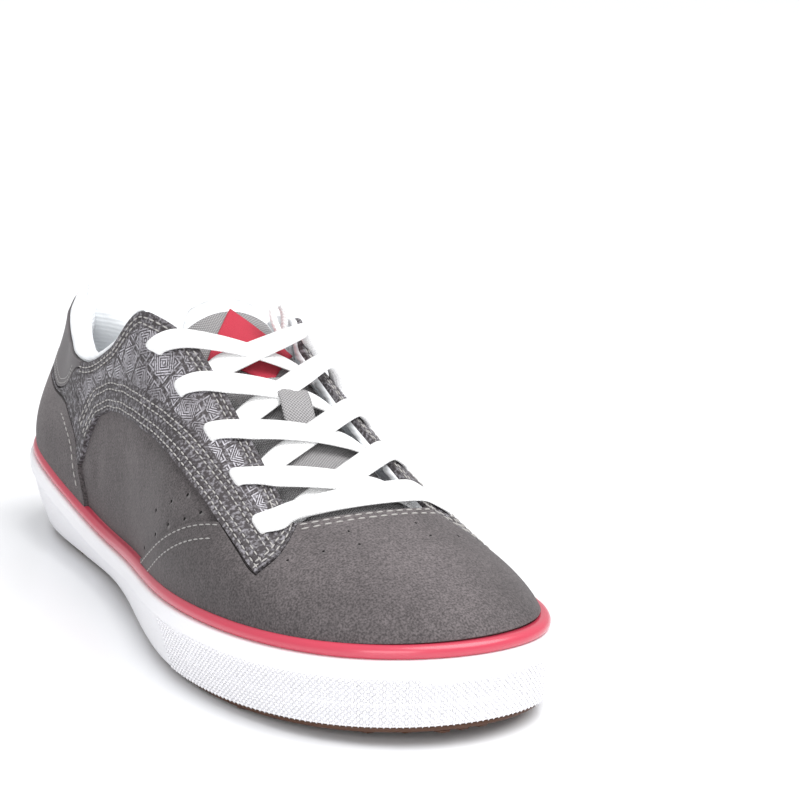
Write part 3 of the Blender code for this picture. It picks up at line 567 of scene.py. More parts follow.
def make_suede(colours):
    """Brushed suede: a mottled nap of short fibres, with painted shade that makes it lighter high up and
    darker lower down and out on the widest sides.
    """
    made = Finish("brushed_suede", colours.suede, 0.95, Sheen_Weight=0.2, Sheen_Roughness=0.5)
    made.shader.inputs["Sheen Tint"].default_value = (0.8, 0.76, 0.76, 1)
    x, _, z = made.place()
    # Painted shade: the colour falls off lower down the wall and out on the widest sides, as if lit from
    # above.
    painted_low_shade = made.ramp(z, 0.026, 0.050, 0.86, 1.04)
    painted_side_shade = made.ramp(made.math("ABSOLUTE", x), 0.028, 0.046, 1.06, 0.68)
    strokes = made.ramp(made.noise(34, 4, stretch=(1, 0.5, 1)), 0.36, 0.64, 0.80, 1.20)
    patches = made.ramp(made.noise(260, 3), 0.33, 0.67, 0.90, 1.10)
    fibres = made.noise(1500, 3)
    specks = made.ramp(fibres, 0.34, 0.66, 0.52, 1.48)
    light = made.times(made.times(strokes, patches, specks), made.times(painted_low_shade, painted_side_shade))
    tint = made.node("VectorMath", operation="SCALE", Scale=light)
    tint.inputs[0].default_value = colours.suede
    made.colour(tint.outputs[0])
    made.bump(fibres, 0.16, 0.8)
    made.grain(330, 3, 0.25, 0.5)


def make_nubuck(colours):
    """Soft nubuck of the heel tab, with a very fine nap."""
    base = Vector(colours.nubuck)
    made = Finish("soft_nubuck", base, 0.92, Sheen_Weight=0.12, Sheen_Roughness=0.5)
    made.colour(made.blend(made.ramp(made.noise(40, 3), 0.3, 0.7), base * 0.88, base * 1.12))
    made.grain(2600, 2, 0.06, 0.6)


def make_patterned_leather(colours):
    """Grained leather with a brick layout of tiles, each with nested diamonds, printed and worn."""
    made = Finish("tiled_leather", colours.leather, 0.6)
    u, v = made.surface()
    row = made.math("FLOOR", made.math("DIVIDE", v, TILE))
    offset = made.times(made.math("ABSOLUTE", made.math("MODULO", row, 2.0)), 0.5)
    x = made.math("FRACT", made.math("ADD", made.math("DIVIDE", u, TILE), offset))
    y = made.math("FRACT", made.math("DIVIDE", v, TILE))
    x, y = (made.math("ABSOLUTE", made.math("SUBTRACT", part, 0.5)) for part in (x, y))
    square, diamond = made.math("MAXIMUM", x, y), made.math("ADD", x, y)
    motif = made.node("Mix", data_type="FLOAT", Factor=made.ramp(diamond, 0.53, 0.55))
    made.put(made.ramp(made.wave(diamond, NESTED_TURN), -0.3, 0.3), motif.inputs[2])
    made.put(made.ramp(made.wave(square, BARS_TURN), -0.3, 0.3), motif.inputs[3])
    below, above = made.surface("borders")
    inside = made.times(made.ramp(below, *PRINT_START_LOW), made.ramp(above, *PRINT_START_TOP))
    pressed = made.times(motif.outputs[0], made.ramp(square, 0.46, 0.44), inside)
    wear = made.ramp(made.noise(1300, 4), 0.34, 0.5, 0.25)
    patch = made.ramp(made.noise(80, 2), 0.36, 0.6, 0.4, 1.0)
    rub = made.times(made.ramp(made.noise(800, 4), 0.48, 0.68), 0.42)
    ink = made.math("MAXIMUM", made.times(pressed, wear, patch), rub)
    made.put(made.ramp(ink, 0.0, 1.0, 0.62, 0.4), made.shader.inputs["Roughness"])
    made.colour(made.blend(ink, colours.leather, colours.print))
    dents = made.math("MAXIMUM", made.seams(below, LOW_ROWS), made.seams(above, THROAT_ROWS))
    made.bump(made.cells(1100.0), 0.12, 0.7)
    made.bump(made.times(dents, -1.0), 0.5, 0.9)
    made.bump(pressed, 0.35, 0.9)


def make_rubbers(colours):
    """White sole rubber, smooth and grained, the red bead, and the gum of the outsole."""
    white = Finish("smooth_rubber", colours.rubber, 0.42, Subsurface_Weight=0.08)
    white.shader.inputs["Subsurface Radius"].default_value = (0.004, 0.004, 0.004)
    white.grain(300, 3, 0.05, 0.3)
    grained = Finish("grained_rubber", colours.rubber, 0.55)
    cells = grained.cells(620.0, feature="DISTANCE_TO_EDGE")
    grained.bump(grained.ramp(cells, 0.0, 0.25), 0.16, 0.7)
    red = Finish("glossy_red_rubber", colours.piping, 0.3, Coat_Weight=0.35, Coat_Roughness=0.15)
    red.grain(260, 3, 0.06, 0.35)
    gum = Finish("gum_compound", colours.gum, 0.6)
    gum.grain(500, 3, 0.1, 0.4)


def make_cloths(colours):
    """Lining, canvas, webbing, red label cloth, insole cloth, lace, threads, and the near-black painted shade
    of the holes' walls.
    """
    lining = Finish("ribbed_lining", colours.lining, 0.85, Sheen_Weight=0.3, Sheen_Roughness=0.5)
    lining.bump(lining.wave(lining.place()[2], LINING_TURN), 0.12, 0.5)
    lining.grain(1500, 2, 0.1, 0.5)

    canvas, label = Vector(colours.canvas), Vector(colours.label)
    # Name, colour, roughness, sheen, pitch, ends of the weave's ramp, three shades, depth and strength.
    for name, base, rough, sheen, pitch, ends, (low, high, plain), depth, strength in (
        ("tongue_canvas", canvas, 0.9, 0.2, 0.55, (-0.6, 0.7), (0.55, 1.25, 1.0), 0.22, 0.9),
        ("webbing", canvas, 0.85, 0.2, 0.62, (-0.7, 0.6), (0.6, 1.35, 1.1), 0.25, 0.9),
        ("label_cloth", label, 0.8, 0.03, 0.3, (-0.8, 0.5), (0.7, 1.15, 1.0), 0.12, 0.8),
    ):
        cloth = Finish(name, base * plain, rough, Sheen_Weight=sheen)
        weave = cloth.weave(pitch)
        cloth.colour(cloth.blend(cloth.ramp(weave, *ends), base * low, base * high))
        cloth.bump(weave, depth, strength)

    lace = Finish("lace_cloth", colours.lace, 0.8, Sheen_Weight=0.25, Sheen_Roughness=0.4)
    u, v = lace.surface()
    slanted = lace.math("ADD", v, lace.times(lace.math("ABSOLUTE", u), 0.9))
    braid, cords = lace.wave(slanted, LACE_BRAID_TURN), lace.wave(u, LACE_CORD_TURN)
    both = lace.math("ADD", lace.times(braid, 0.5), lace.times(cords, 0.5))
    shade = Vector(colours.lace)
    lace.colour(lace.blend(lace.ramp(both, -0.9, 0.2), shade * 0.9, shade))
    lace.bump(both, 0.14, 0.7)

    # Name, colour, roughness, sheen, and the noise's scale, detail, depth and strength.
    for name, colour, rough, sheen, *noise in (
        ("footbed_cloth", (0.72, 0.73, 0.75), 0.9, 0.2, 1400, 3, 0.12, 0.6),
        ("pale_thread", colours.pale_thread, 0.8, 0.2, 3000, 2, 0.08, 0.6),
        ("grey_thread", colours.grey_thread, 0.8, 0.2, 3000, 2, 0.08, 0.6),
        # Near-black for the walls of the holes: painted shade inside them.
        ("painted_hole_shade", (0.006, 0.006, 0.006), 0.9, 0.0, 2000, 2, 0.05, 0.5),
    ):
        Finish(name, colour, rough, Sheen_Weight=sheen).grain(*noise)


# Meshes.


def grid_faces(columns, rows, closed=False):
    """Faces of a grid of points numbered column by column, as an array."""
    last = columns if closed else columns - 1
    i = np.arange(last)[:, None]
    k = np.arange(rows - 1)[None]
    j = (i + 1) % columns
    corners = [i * rows + k, j * rows + k, j * rows + k + 1, i * rows + k + 1]
    return np.stack(np.broadcast_arrays(*corners), -1).reshape(-1, 4)


def new_mesh(name, points, faces, uv=None):
    """A smooth mesh in the frame's place from points of the drawing. uv has a pair for each point."""
    mesh = bpy.data.meshes.new(name)
    mesh.from_pydata((np.asarray(points) - BOX_MIDDLE).tolist(), [], [list(face) for face in faces])
    mesh.shade_smooth()
    if uv is not None:
        add_uv(mesh, "surface", uv)
    return mesh


def add_uv(mesh, name, uv):
    """A UV map with a pair for each point."""
    layer = mesh.uv_layers.new(name=name)
    corner = np.zeros(len(mesh.loops), np.int32)
    mesh.loops.foreach_get("vertex_index", corner)
    layer.data.foreach_set("uv", np.asarray(uv, np.float32)[corner].ravel())


def new_object(name, mesh, *materials):
    """An object in the scene with its materials."""
    piece = bpy.data.objects.new(name, mesh)
    for material in materials:
        piece.data.materials.append(lookup(material))
    bpy.context.scene.collection.objects.link(piece)
    return piece


def evaluated_mesh(piece):
    """A new mesh of the piece's evaluated form."""
    graph = bpy.context.evaluated_depsgraph_get()
    return bpy.data.meshes.new_from_object(piece.evaluated_get(graph), depsgraph=graph)


def apply_modifiers(piece):
    """Makes the piece's evaluated form its own mesh and removes the modifiers."""
    mesh = evaluated_mesh(piece)
    old = piece.data
    piece.modifiers.clear()
    piece.data = mesh
    bpy.data.meshes.remove(old)
    mesh.name = piece.name


def finish_piece(piece, slot, *nodes):
    """Lets a piece ride with the shoe and hides the solids that it stands for. The slot, its finish's name,
    is not used.
    """
    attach(piece, BODY)
    if nodes:
        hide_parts(*nodes)
    return piece


def surface_uv(places, ups):
    """Distances in metres round the sole's rim and up the wall from it, turned to the throat's slope."""
    round_way = np.linspace(-0.5, 1.5, 1601)
    u = np.interp(places, round_way, run_along(upper_point(round_way, 0.0)))
    line = upper_point(places[..., None], ups[..., None] * np.linspace(0, 1, 13))
    v = np.linalg.norm(np.diff(line, axis=-2), axis=-1).sum(-1)
    turn = np.where(np.mod(places, 1) < 0.5, 1, -1) * PATTERN_TURN
    return np.stack([u * np.cos(turn) - v * np.sin(turn), u * np.sin(turn) + v * np.cos(turn)], -1)


def ring_ends(count, around):
    """The two flat ends of rings of points, numbered ring by ring."""
    return [list(range(around)), [(count - 1) * around + k for k in range(around)][::-1]]


def round_solid(name, rings, material, capped=False):
    """A piece lofted through closed rings, (rings, points, 3), joined to itself or capped at both ends."""
    count, around = rings.shape[:2]
    faces = grid_faces(count, around, closed=not capped)
    wrap = np.arange(count - 1 if capped else count)
    seam = np.stack([wrap * around + around - 1, (wrap + 1) % count * around + around - 1,
                     (wrap + 1) % count * around, wrap * around], -1)
    faces = [*faces, *seam, *(ring_ends(count, around) if capped else ())]
    mesh = new_mesh(name, rings.reshape(-1, 3), faces)
    point_outwards(mesh)
    return new_object(name, mesh, material)


def point_outwards(mesh):
    """Turns the faces of a closed mesh outwards."""
    shape = bmesh.new()
    shape.from_mesh(mesh)
    bmesh.ops.recalc_face_normals(shape, faces=shape.faces)
    shape.to_mesh(mesh)
    shape.free()


def nearest(points, line):
    """Distance of each point to the nearest of a line's points."""
    apart = points.reshape(-1, 1, 3) - np.asarray(line)[None]
    return np.sqrt((apart**2).sum(-1).min(1)).reshape(points.shape[:-1])


def thicken(piece, thickness):
    """Gives an open surface a wall on its inner side."""
    wall = piece.modifiers.new("wall", "SOLIDIFY")
    wall.thickness = thickness
    wall.offset = -1


def panel(name, places, ups, material, keep=None, extra=0.0, borders=False):
    """A leather panel on the upper, with a real thickness and softly rounded edges."""
    places, ups = np.broadcast_arrays(places, ups)
    points = on_upper(places, ups, PANEL_GAP + OVERLAY + extra)
    columns, rows = places.shape
    faces = grid_faces(columns, rows)
    if keep is not None:
        faces = faces[np.asarray(keep, bool).ravel()]
    mesh = new_mesh(name, points.reshape(-1, 3), faces, surface_uv(places, ups).reshape(-1, 2))
    if borders:
        low = np.concatenate([points[:, 0], points[0], points[-1]])
        apart = np.stack([nearest(points, low), nearest(points, points[:, -1])], -1)
        add_uv(mesh, "borders", apart.reshape(-1, 2))
    shape = bmesh.new()
    shape.from_mesh(mesh)
    loose = [vert for vert in shape.verts if not vert.link_faces]
    bmesh.ops.delete(shape, geom=loose, context="VERTS")
    shape.to_mesh(mesh)
    shape.free()
    piece = new_object(name, mesh, material)
    thicken(piece, OVERLAY + PANEL_GAP * 0.9 + extra)
    edge = piece.modifiers.new("edge", "BEVEL")
    edge.width = EDGE_ROUNDING
    edge.segments = 3
    edge.limit_method = "ANGLE"
    edge.angle_limit = EDGE_ANGLE
    apply_modifiers(piece)
    return piece


# Geometry Nodes: rows of stitches, and posts on points.


def new_tree(name, inputs, nodes, links):
    """A Geometry Nodes tree with named inputs, from a table of nodes and one of links.

    Its instances, which the node called place makes, are realized, shaded smooth and given the material.
    """
    tree = bpy.data.node_groups.new(name, "GeometryNodeTree")
    tree.interface.new_socket("Geometry", in_out="INPUT", socket_type="NodeSocketGeometry")
    for label, kind, value in inputs:
        socket = tree.interface.new_socket(label, in_out="INPUT", socket_type=f"NodeSocket{kind}")
        socket.default_value = value
    tree.interface.new_socket("Material", in_out="INPUT", socket_type="NodeSocketMaterial")
    tree.interface.new_socket("Geometry", in_out="OUTPUT", socket_type="NodeSocketGeometry")
    made = {}
    for key, kind, settings, sockets in (*nodes, *TREE_END_NODES):
        made[key] = tree.nodes.new(kind)
        for setting, value in settings.items():
            setattr(made[key], setting, value)
        for socket, value in sockets.items():
            made[key].inputs[socket].default_value = value
    for first, output, second, socket in (*links, *TREE_END_LINKS):
        tree.links.new(made[first].outputs[output], made[second].inputs[socket])
    return tree


TREE_END_NODES = (
    ("given", "NodeGroupInput", {}, {}),
    ("real", "GeometryNodeRealizeInstances", {}, {}),
    ("smooth", "GeometryNodeSetShadeSmooth", {}, {}),
    ("paint", "GeometryNodeSetMaterial", {}, {}),
    ("out", "NodeGroupOutput", {}, {}),
)


TREE_END_LINKS = (
    ("place", "Instances", "real", 0),
    ("real", 0, "smooth", 0),
    ("smooth", 0, "paint", 0),
    ("given", "Material", "paint", "Material"),
    ("paint", 0, "out", 0),
)


def stitch_tree():
    """Stitches along a curve: pills of thread, one at each step."""
    return new_tree("stitch_row", (
        ("Pitch", "Float", 3 * MM), ("Stitch Length", "Float", 2.3 * MM), ("Thread", "Float", 0.7 * MM),
    ), (
        ("points", "GeometryNodeCurveToPoints", {"mode": "LENGTH"}, {}),
        ("ball", "GeometryNodeMeshIcoSphere", {}, {"Radius": 0.5, "Subdivisions": 2}),
        ("size", "ShaderNodeCombineXYZ", {}, {}),
        ("pill", "GeometryNodeTransform", {}, {}),
        ("turn", "FunctionNodeAlignRotationToVector", {"axis": "X"}, {}),
        ("place", "GeometryNodeInstanceOnPoints", {}, {}),
    ), (
        ("given", "Geometry", "points", "Curve"),
        ("given", "Pitch", "points", "Length"),
        ("given", "Stitch Length", "size", "X"),
        ("given", "Thread", "size", "Y"),
        ("given", "Thread", "size", "Z"),
        ("ball", "Mesh", "pill", "Geometry"),
        ("size", 0, "pill", "Scale"),
        ("points", "Tangent", "turn", "Vector"),
        ("points", "Points", "place", "Points"),
        ("pill", "Geometry", "place", "Instance"),
        ("turn", "Rotation", "place", "Rotation"),
    ))


def post_tree():
    """Posts on points: they stand along the points' facing attribute, with one corner up."""
    return new_tree("posts_on_points", (
        ("Sides", "Int", 12), ("Foot Radius", "Float", MM), ("Top Radius", "Float", MM),
        ("Height", "Float", MM),
    ), (
        ("cone", "GeometryNodeMeshCone", {}, {}),
        ("facing", "GeometryNodeInputNamedAttribute", {"data_type": "FLOAT_VECTOR"}, {"Name": "facing"}),
        ("turn", "FunctionNodeAlignRotationToVector", {"axis": "Z"}, {}),
        ("upright", "FunctionNodeAlignRotationToVector", {"axis": "Y", "pivot_axis": "Z"},
         {"Vector": (0, 0, 1)}),
        ("place", "GeometryNodeInstanceOnPoints", {}, {}),
    ), (
        ("given", "Sides", "cone", "Vertices"),
        ("given", "Top Radius", "cone", "Radius Top"),
        ("given", "Foot Radius", "cone", "Radius Bottom"),
        ("given", "Height", "cone", "Depth"),
        ("given", "Geometry", "place", "Points"),
        ("cone", "Mesh", "place", "Instance"),
        ("facing", "Attribute", "turn", "Vector"),
        ("turn", "Rotation", "upright", "Rotation"),
        ("upright", "Rotation", "place", "Rotation"),
    ))


def run_tree(source, make, name, values):
    """The mesh that a tree makes of an object, its inputs set by their identifiers."""
    tree = bpy.data.node_groups.get(name) or make()
    nodes = source.modifiers.new(name, "NODES")
    nodes.node_group = tree
    for item in tree.interface.items_tree:
        if item.in_out == "INPUT" and item.name in values:
            nodes[item.identifier] = values[item.name]
    mesh = evaluated_mesh(source)
    source.modifiers.remove(nodes)
    return mesh


def stitch(name, lines, settings, thread="pale_thread", size=1.0):
    """A piece of rows of stitches along lines of points of the drawing."""
    curve = bpy.data.curves.new(name, "CURVE")
    curve.dimensions = "3D"
    for line in lines:
        spline = curve.splines.new("POLY")
        spline.points.add(len(line) - 1)
        flat = np.concatenate([np.asarray(line) - BOX_MIDDLE, np.ones((len(line), 1))], 1)
        spline.points.foreach_set("co", flat.astype(np.float32).ravel())
    source = new_object(name + "_lines", curve)
    mesh = run_tree(source, stitch_tree, "stitch_row", {
        "Pitch": settings.stitch_pitch * size, "Stitch Length": settings.stitch_length * size,
        "Thread": settings.thread * size, "Material": lookup(thread),
    })
    bpy.data.objects.remove(source)
    mesh.name = name
    return finish_piece(new_object(name, mesh), "suede")


def posts(name, points, facing, material, sides, foot, top, height):
    """Posts that stand on points of the drawing, each along its own direction."""
    mesh = bpy.data.meshes.new(name)
    mesh.from_pydata((np.asarray(points) - BOX_MIDDLE).tolist(), [], [])
    attribute = mesh.attributes.new("facing", "FLOAT_VECTOR", "POINT")
    attribute.data.foreach_set("vector", np.asarray(facing, np.float32).ravel())
    piece = new_object(name, mesh)
    piece.data = run_tree(piece, post_tree, "posts_on_points", {
        "Sides": sides, "Foot Radius": foot, "Top Radius": top, "Height": height,
        "Material": lookup(material),
    })
    bpy.data.meshes.remove(mesh)
    piece.data.name = name
    return piece


def both_sides(points):
    """Places and heights of points given for one side in hundredths, for both sides."""
    points = np.array(points, float) / 100
    return np.concatenate([points, np.stack([1 - points[:, 0], points[:, 1]], 1)])


# The sole.


def punch(piece, spots, out, sides, radius, depth):
    """Cuts holes through a piece on the upper, at the places and heights given for one side."""
    at, up = both_sides(spots).T
    points, facing = on_upper(at, up, out), upper_normal(at, up)
    pins = posts("pins", points, facing, "painted_hole_shade", sides, radius, radius, depth)
    hole = piece.modifiers.new("cut", "BOOLEAN")
    hole.operation = "DIFFERENCE"
    # The cut walls take the cutters' near-black material: painted shade inside the holes.
    hole.material_mode = "TRANSFER"
    hole.object = pins
    apply_modifiers(piece)
    bpy.data.objects.remove(pins)


def punch_eyelets(piece):
    """Cuts the lace holes through a piece."""
    punch(piece, EYELETS, -6 * MM, 16, EYELET_RADIUS, 12 * MM)


def side_foot(places):
    """The undercut of the sole's side, the height of its rim and that of its foot."""
    undercut, rim = read_round("undercut", places), read_round("rim", places)
    foot_plan, _ = outline(places, undercut)
    return undercut, rim, floor_height(along(foot_plan[..., 1])) + OUTSOLE + GAP


def side_inset(undercut, share):
    """Inset of the sole's textured side, whose slope changes at a knee: share runs from foot to band."""
    knee = undercut * KNEE + KNEE_INSET
    low = undercut + (knee - undercut) * share / KNEE
    return np.where(share < KNEE, low, knee - undercut * KNEE * (share - KNEE) / (1 - KNEE))


def side_levels(places):
    """The sole's side, from its foot to the inside of its rim: insets and heights of each line."""
    undercut, rim, base = side_foot(places)
    band_low = rim - BAND_HEIGHT
    levels = [(undercut + 0.7 * MM, base), (undercut + 0.15 * MM, base + 0.25 * MM)]
    for share in np.linspace(0.05, 1, 9):
        levels.append((side_inset(undercut, share), base + (band_low - BAND_STEP - base) * share))
    for inset, rise in ((0.25, -0.25), (0.03, 0.15), (0, 0.8)):
        levels.append((inset * MM, band_low + rise * MM))
    for inset, rise in ((0, -1.5), (0.12, -0.75), (0.5, -0.2), (1.1, 0), (1.6, 0.1), (2.4, 0.15)):
        levels.append((inset * MM, rim + rise * MM))
    return levels + [(RIM_INSET, rim)]


def side_point(places, share):
    """A point on the sole's textured side and its outward direction: share runs from foot to band."""
    undercut, rim, base = side_foot(places)
    tall = rim - BAND_HEIGHT - BAND_STEP - base
    plan, outward = outline(places, side_inset(undercut, share))
    low_slope = (undercut - undercut * KNEE - KNEE_INSET) / KNEE / tall
    slope = np.where(share < KNEE, low_slope, undercut * KNEE / (1 - KNEE) / tall)
    facing = np.concatenate([outward, -slope[..., None]], -1)
    return np.concatenate([plan, (base + tall * share)[..., None]], -1), unit(facing)


def build_cupsole():
    """The white cup: grained side, smooth band and rim."""
    places = fine_columns()
    lines = [at_heights(outline(places, inset)[0], height) for inset, height in side_levels(places)]
    plan, _ = outline(places, RIM_INSET)
    lines.append(at_heights(plan, cup_floor(along(plan[:, 1]))))
    points = np.stack(lines, 1)
    columns, rows = points.shape[:2]
    faces = list(grid_faces(columns, rows, closed=True))
    row = np.arange(len(faces)) % (rows - 1)
    toe = lattice_share(np.repeat(places, rows - 1), 0.5) > 0
    kinds = np.append((row >= GRAINED_ROWS[0]) & (row <= GRAINED_ROWS[1]) & ~toe, [False, False])
    faces.append([i * rows for i in range(columns)][::-1])
    faces.append([i * rows + rows - 1 for i in range(columns)])
    mesh = new_mesh("cupsole_rubber", points.reshape(-1, 3), faces)
    piece = new_object("cupsole_rubber", mesh, "smooth_rubber", "grained_rubber")
    mesh.polygons.foreach_set("material_index", kinds.astype(np.int32))
    point_outwards(mesh)
    return finish_piece(piece, "white_rubber", "cupsole")


def lattice_share(places, share):
    """Above zero where the toe's lattice covers the side: its end slants, further back towards the top."""
    folded = np.minimum(np.mod(places, 1), 1 - np.mod(places, 1))
    return folded - (LATTICE_END - LATTICE_END_SLANT * np.asarray(share, float))


def build_lattice(settings):
    """The small raised diamonds round the toe, in rows set off by half a step."""
    pitch = settings.lattice_pitch
    fine = np.linspace(0.28, 0.72, 1200)
    run = run_along(outline(fine, 0.0)[0])
    points, facings = [], []
    for row in range(26):
        rise = (row + 0.8) * pitch * 0.5
        places = np.interp(np.arange(run[0] + (row % 2) * pitch / 2, run[-1], pitch), run, fine)
        _, rim, base = side_foot(places)
        share = rise / (rim - BAND_HEIGHT - BAND_STEP - base)
        inside = (share < 0.96) & (lattice_share(places, share) > 0)
        if inside.any():
            point, facing = side_point(places[inside], share[inside])
            points.append(point)
            facings.append(facing)
    points, facings = np.concatenate(points), np.concatenate(facings)
    piece = posts("toe_lattice", points - facings * 0.05 * MM, facings, "smooth_rubber", 4,
                  pitch * 0.47, pitch * 0.14, settings.lattice_height)
    return finish_piece(piece, "white_rubber")


def build_piping():
    """The glossy red bead round the foot of the upper."""
    places = fine_columns()
    rim = read_round("rim", places)
    inner, _ = outline(places, RIM_INSET)
    lines = [at_heights(inner, rim + 0.15 * MM)]
    for turn in np.linspace(-0.5, 0.62, 9) * np.pi:
        plan, _ = outline(places, PIPING_INSET + PIPING_CENTRE - PIPING_RADIUS * np.cos(turn))
        lines.append(at_heights(plan, rim + PIPING_HEIGHT * 0.48 + PIPING_RADIUS * np.sin(turn)))
    for part in (1.0, 0.5):
        lines.append(on_upper(places, up_at_height(places, rim + PIPING_HEIGHT * part), 0.1 * MM))
    piece = round_solid("red_piping", np.stack(lines, 1), "glossy_red_rubber")
    return finish_piece(piece, "red_rubber", "piping")


def lid(columns, rows, row):
    """Faces from side to side that close one of the rings of a body round the shoe."""
    ring = [i * rows + row for i in range(columns)]
    faces = []
    for i in range(columns // 2):
        corners = (i, i + 1, columns - i - 1, columns - i)
        face = list(dict.fromkeys(ring[corner % columns] for corner in corners))
        if len(face) > 2:
            faces.append(face)
    return faces


def closed_body(name, lines, material, slot, node, order=1):
    """A piece lofted through lines round the shoe, from its underside up, closed by two lids.

    The order of the corners, 1 or -1, settles along which diagonals the lower lid's faces split.
    """
    points = np.stack(lines, 1)
    columns, rows = points.shape[:2]
    faces = list(grid_faces(columns, rows, closed=True))
    faces += [face[::order] for face in lid(columns, rows, 0)] + lid(columns, rows, rows - 1)
    mesh = new_mesh(name, points.reshape(-1, 3), faces)
    point_outwards(mesh)
    return finish_piece(new_object(name, mesh, material), slot, node)


def build_outsole(settings):
    """The gum outsole and the flat pads of its tread."""
    places = fine_columns()
    tread = settings.tread
    edge = read_round("undercut", places) + OUTSOLE_INSET
    lines = []
    for inset, rise in ((0.9 * MM, tread), (0.3 * MM, tread + 0.15 * MM), (0 * MM, tread + 0.6 * MM),
                        (0 * MM, OUTSOLE - 0.3 * MM), (0.3 * MM, OUTSOLE)):
        plan, _ = outline(places, edge + inset)
        lines.append(at_heights(plan, floor_height(along(plan[:, 1])) + rise))
    closed_body("gum_outsole", lines, "gum_compound", "gum_rubber", "outsole", order=-1)
    pitch = TREAD_PITCH
    ring, _ = outline(places, edge + TREAD_MARGIN)
    spots = []
    for row, back in enumerate(np.arange(4 * MM, LENGTH, pitch * 0.87)):
        for side in np.arange(-60 * MM, 62 * MM, pitch) + (row % 2) * pitch / 2:
            if inside_ring(ring, side, along(back)):
                spots.append((side, along(back), floor_height(back) + 0.02 * MM))
    pads = posts("outsole_tread", np.array(spots), np.tile([0, 0, 1.0], (len(spots), 1)),
                 "gum_compound", 6, pitch * 0.43, pitch * 0.46, tread)
    return finish_piece(pads, "gum_rubber")


def inside_ring(ring, x, y):
    """Whether a point lies inside a closed outline."""
    x1, y1 = ring[:, 0], ring[:, 1]
    x2, y2 = np.roll(x1, -1), np.roll(y1, -1)
    crosses = (y1 > y) != (y2 > y)
    rise = np.where(crosses, y2 - y1, 1)
    return bool((crosses & (x < (x2 - x1) * (y - y1) / rise + x1)).sum() % 2)


def build_insole():
    """The footbed, with a soft rim."""
    places = fine_columns()
    lines = []
    for inset, rise in ((0.0, 0.0), (0.0, 2.6), (0.3, 3.6), (1.2, 4.0), (8.0, 3.6), (16.0, 3.3)):
        plan, _ = outline(places, RIM_INSET + GAP + UPPER_WALL + GAP + inset * MM)
        lines.append(at_heights(plan, cup_floor(along(plan[:, 1])) + GAP + rise * MM))
    return closed_body("footbed", lines, "footbed_cloth", "insole_cloth", "insole")


# The upper and its panels.


def build_upper(settings):
    """The suede wall with its lining, lace holes and small perforations."""
    places = fine_columns()
    heights = rising_parts(36)
    outer = on_upper(places[:, None], heights[None], crease(places[:, None], heights[None]))
    inner = on_upper(places[:, None], heights[None], -UPPER_WALL)
    foot, foot_inner = outer[:, :1].copy(), inner[:, :1].copy()
    foot[:, 0, 2] = foot_inner[:, 0, 2] = cup_floor(along(foot[:, 0, 1])) + GAP
    lip = (outer[:, -1:] + inner[:, -1:]) / 2 + np.array([0, 0, 0.25 * MM])
    lines = np.concatenate([foot, outer, lip, inner[:, ::-1], foot_inner], 1)
    columns, rows = lines.shape[:2]
    faces = list(grid_faces(columns, rows, closed=True))
    inside = [index % (rows - 1) >= len(heights) for index in range(len(faces))] + [False] * columns
    for i in range(columns):
        j = (i + 1) % columns
        faces.append([i * rows + rows - 1, j * rows + rows - 1, j * rows, i * rows])
    mesh = new_mesh("suede_upper", lines.reshape(-1, 3), faces)
    point_outwards(mesh)
    piece = new_object("suede_upper", mesh, "brushed_suede", "ribbed_lining")
    mesh.polygons.foreach_set("material_index", np.array(inside, np.int32))
    punch_eyelets(piece)
    punch(piece, QUARTER_HOLES, -0.9 * MM, 10, settings.perforation, 3 * MM)
    return finish_piece(piece, "suede", "upper")


def crease(places, heights):
    """Low soft waves of the suede: a fold behind the ball and a hollow ahead of the heel's panel."""
    # Place on the outer side, height, reach round, reach up, and depth in millimetres.
    folds = (
        (0.160, 0.34, 0.006, 0.10, 0.5), (0.172, 0.30, 0.006, 0.12, -0.5),
        (0.215, 0.30, 0.020, 0.10, -0.35),
    )
    out = np.zeros(np.broadcast_shapes(places.shape, heights.shape))
    for place, height, wide, tall, depth in folds:
        for middle in (place, 1 - place):
            out += depth * MM * np.exp(-((places - middle) / wide) ** 2 - ((heights - height) / tall) ** 2)
    return out


def lean_to_corner(places, ups, start):
    """Places of a grid whose columns near the eyestay's ends lean to the throat's corners, from a line up."""
    tip, corner = EYESTAY_TIP / 100, EYESTAY_CORNER / 100
    near = np.interp(places, (tip - 0.05, tip, tip + 0.05), (0, corner - tip, 0))
    far = np.interp(1 - np.mod(places, 1), (tip - 0.05, tip, tip + 0.05), (0, corner - tip, 0))
    share = np.clip((ups - start[:, None]) / (1 - start[:, None]), 0, 1)
    return places[:, None] + (near - far)[:, None] * share


def over_piping(at):
    """How far up the wall the panels start, just over the piping."""
    return up_at_height(at, read_round("rim", at) + PIPING_HEIGHT - 0.4 * MM)


def rising_parts(rows):
    """Parts of the way up for a number of rows, closer together towards the top."""
    return 1 - (1 - np.linspace(0, 1, rows + 1)) ** 1.2


def rows_between(low, high, rows):
    """Heights on the wall from one line to another, (columns, rows + 1)."""
    return low[:, None] + (high - low)[:, None] * rising_parts(rows)


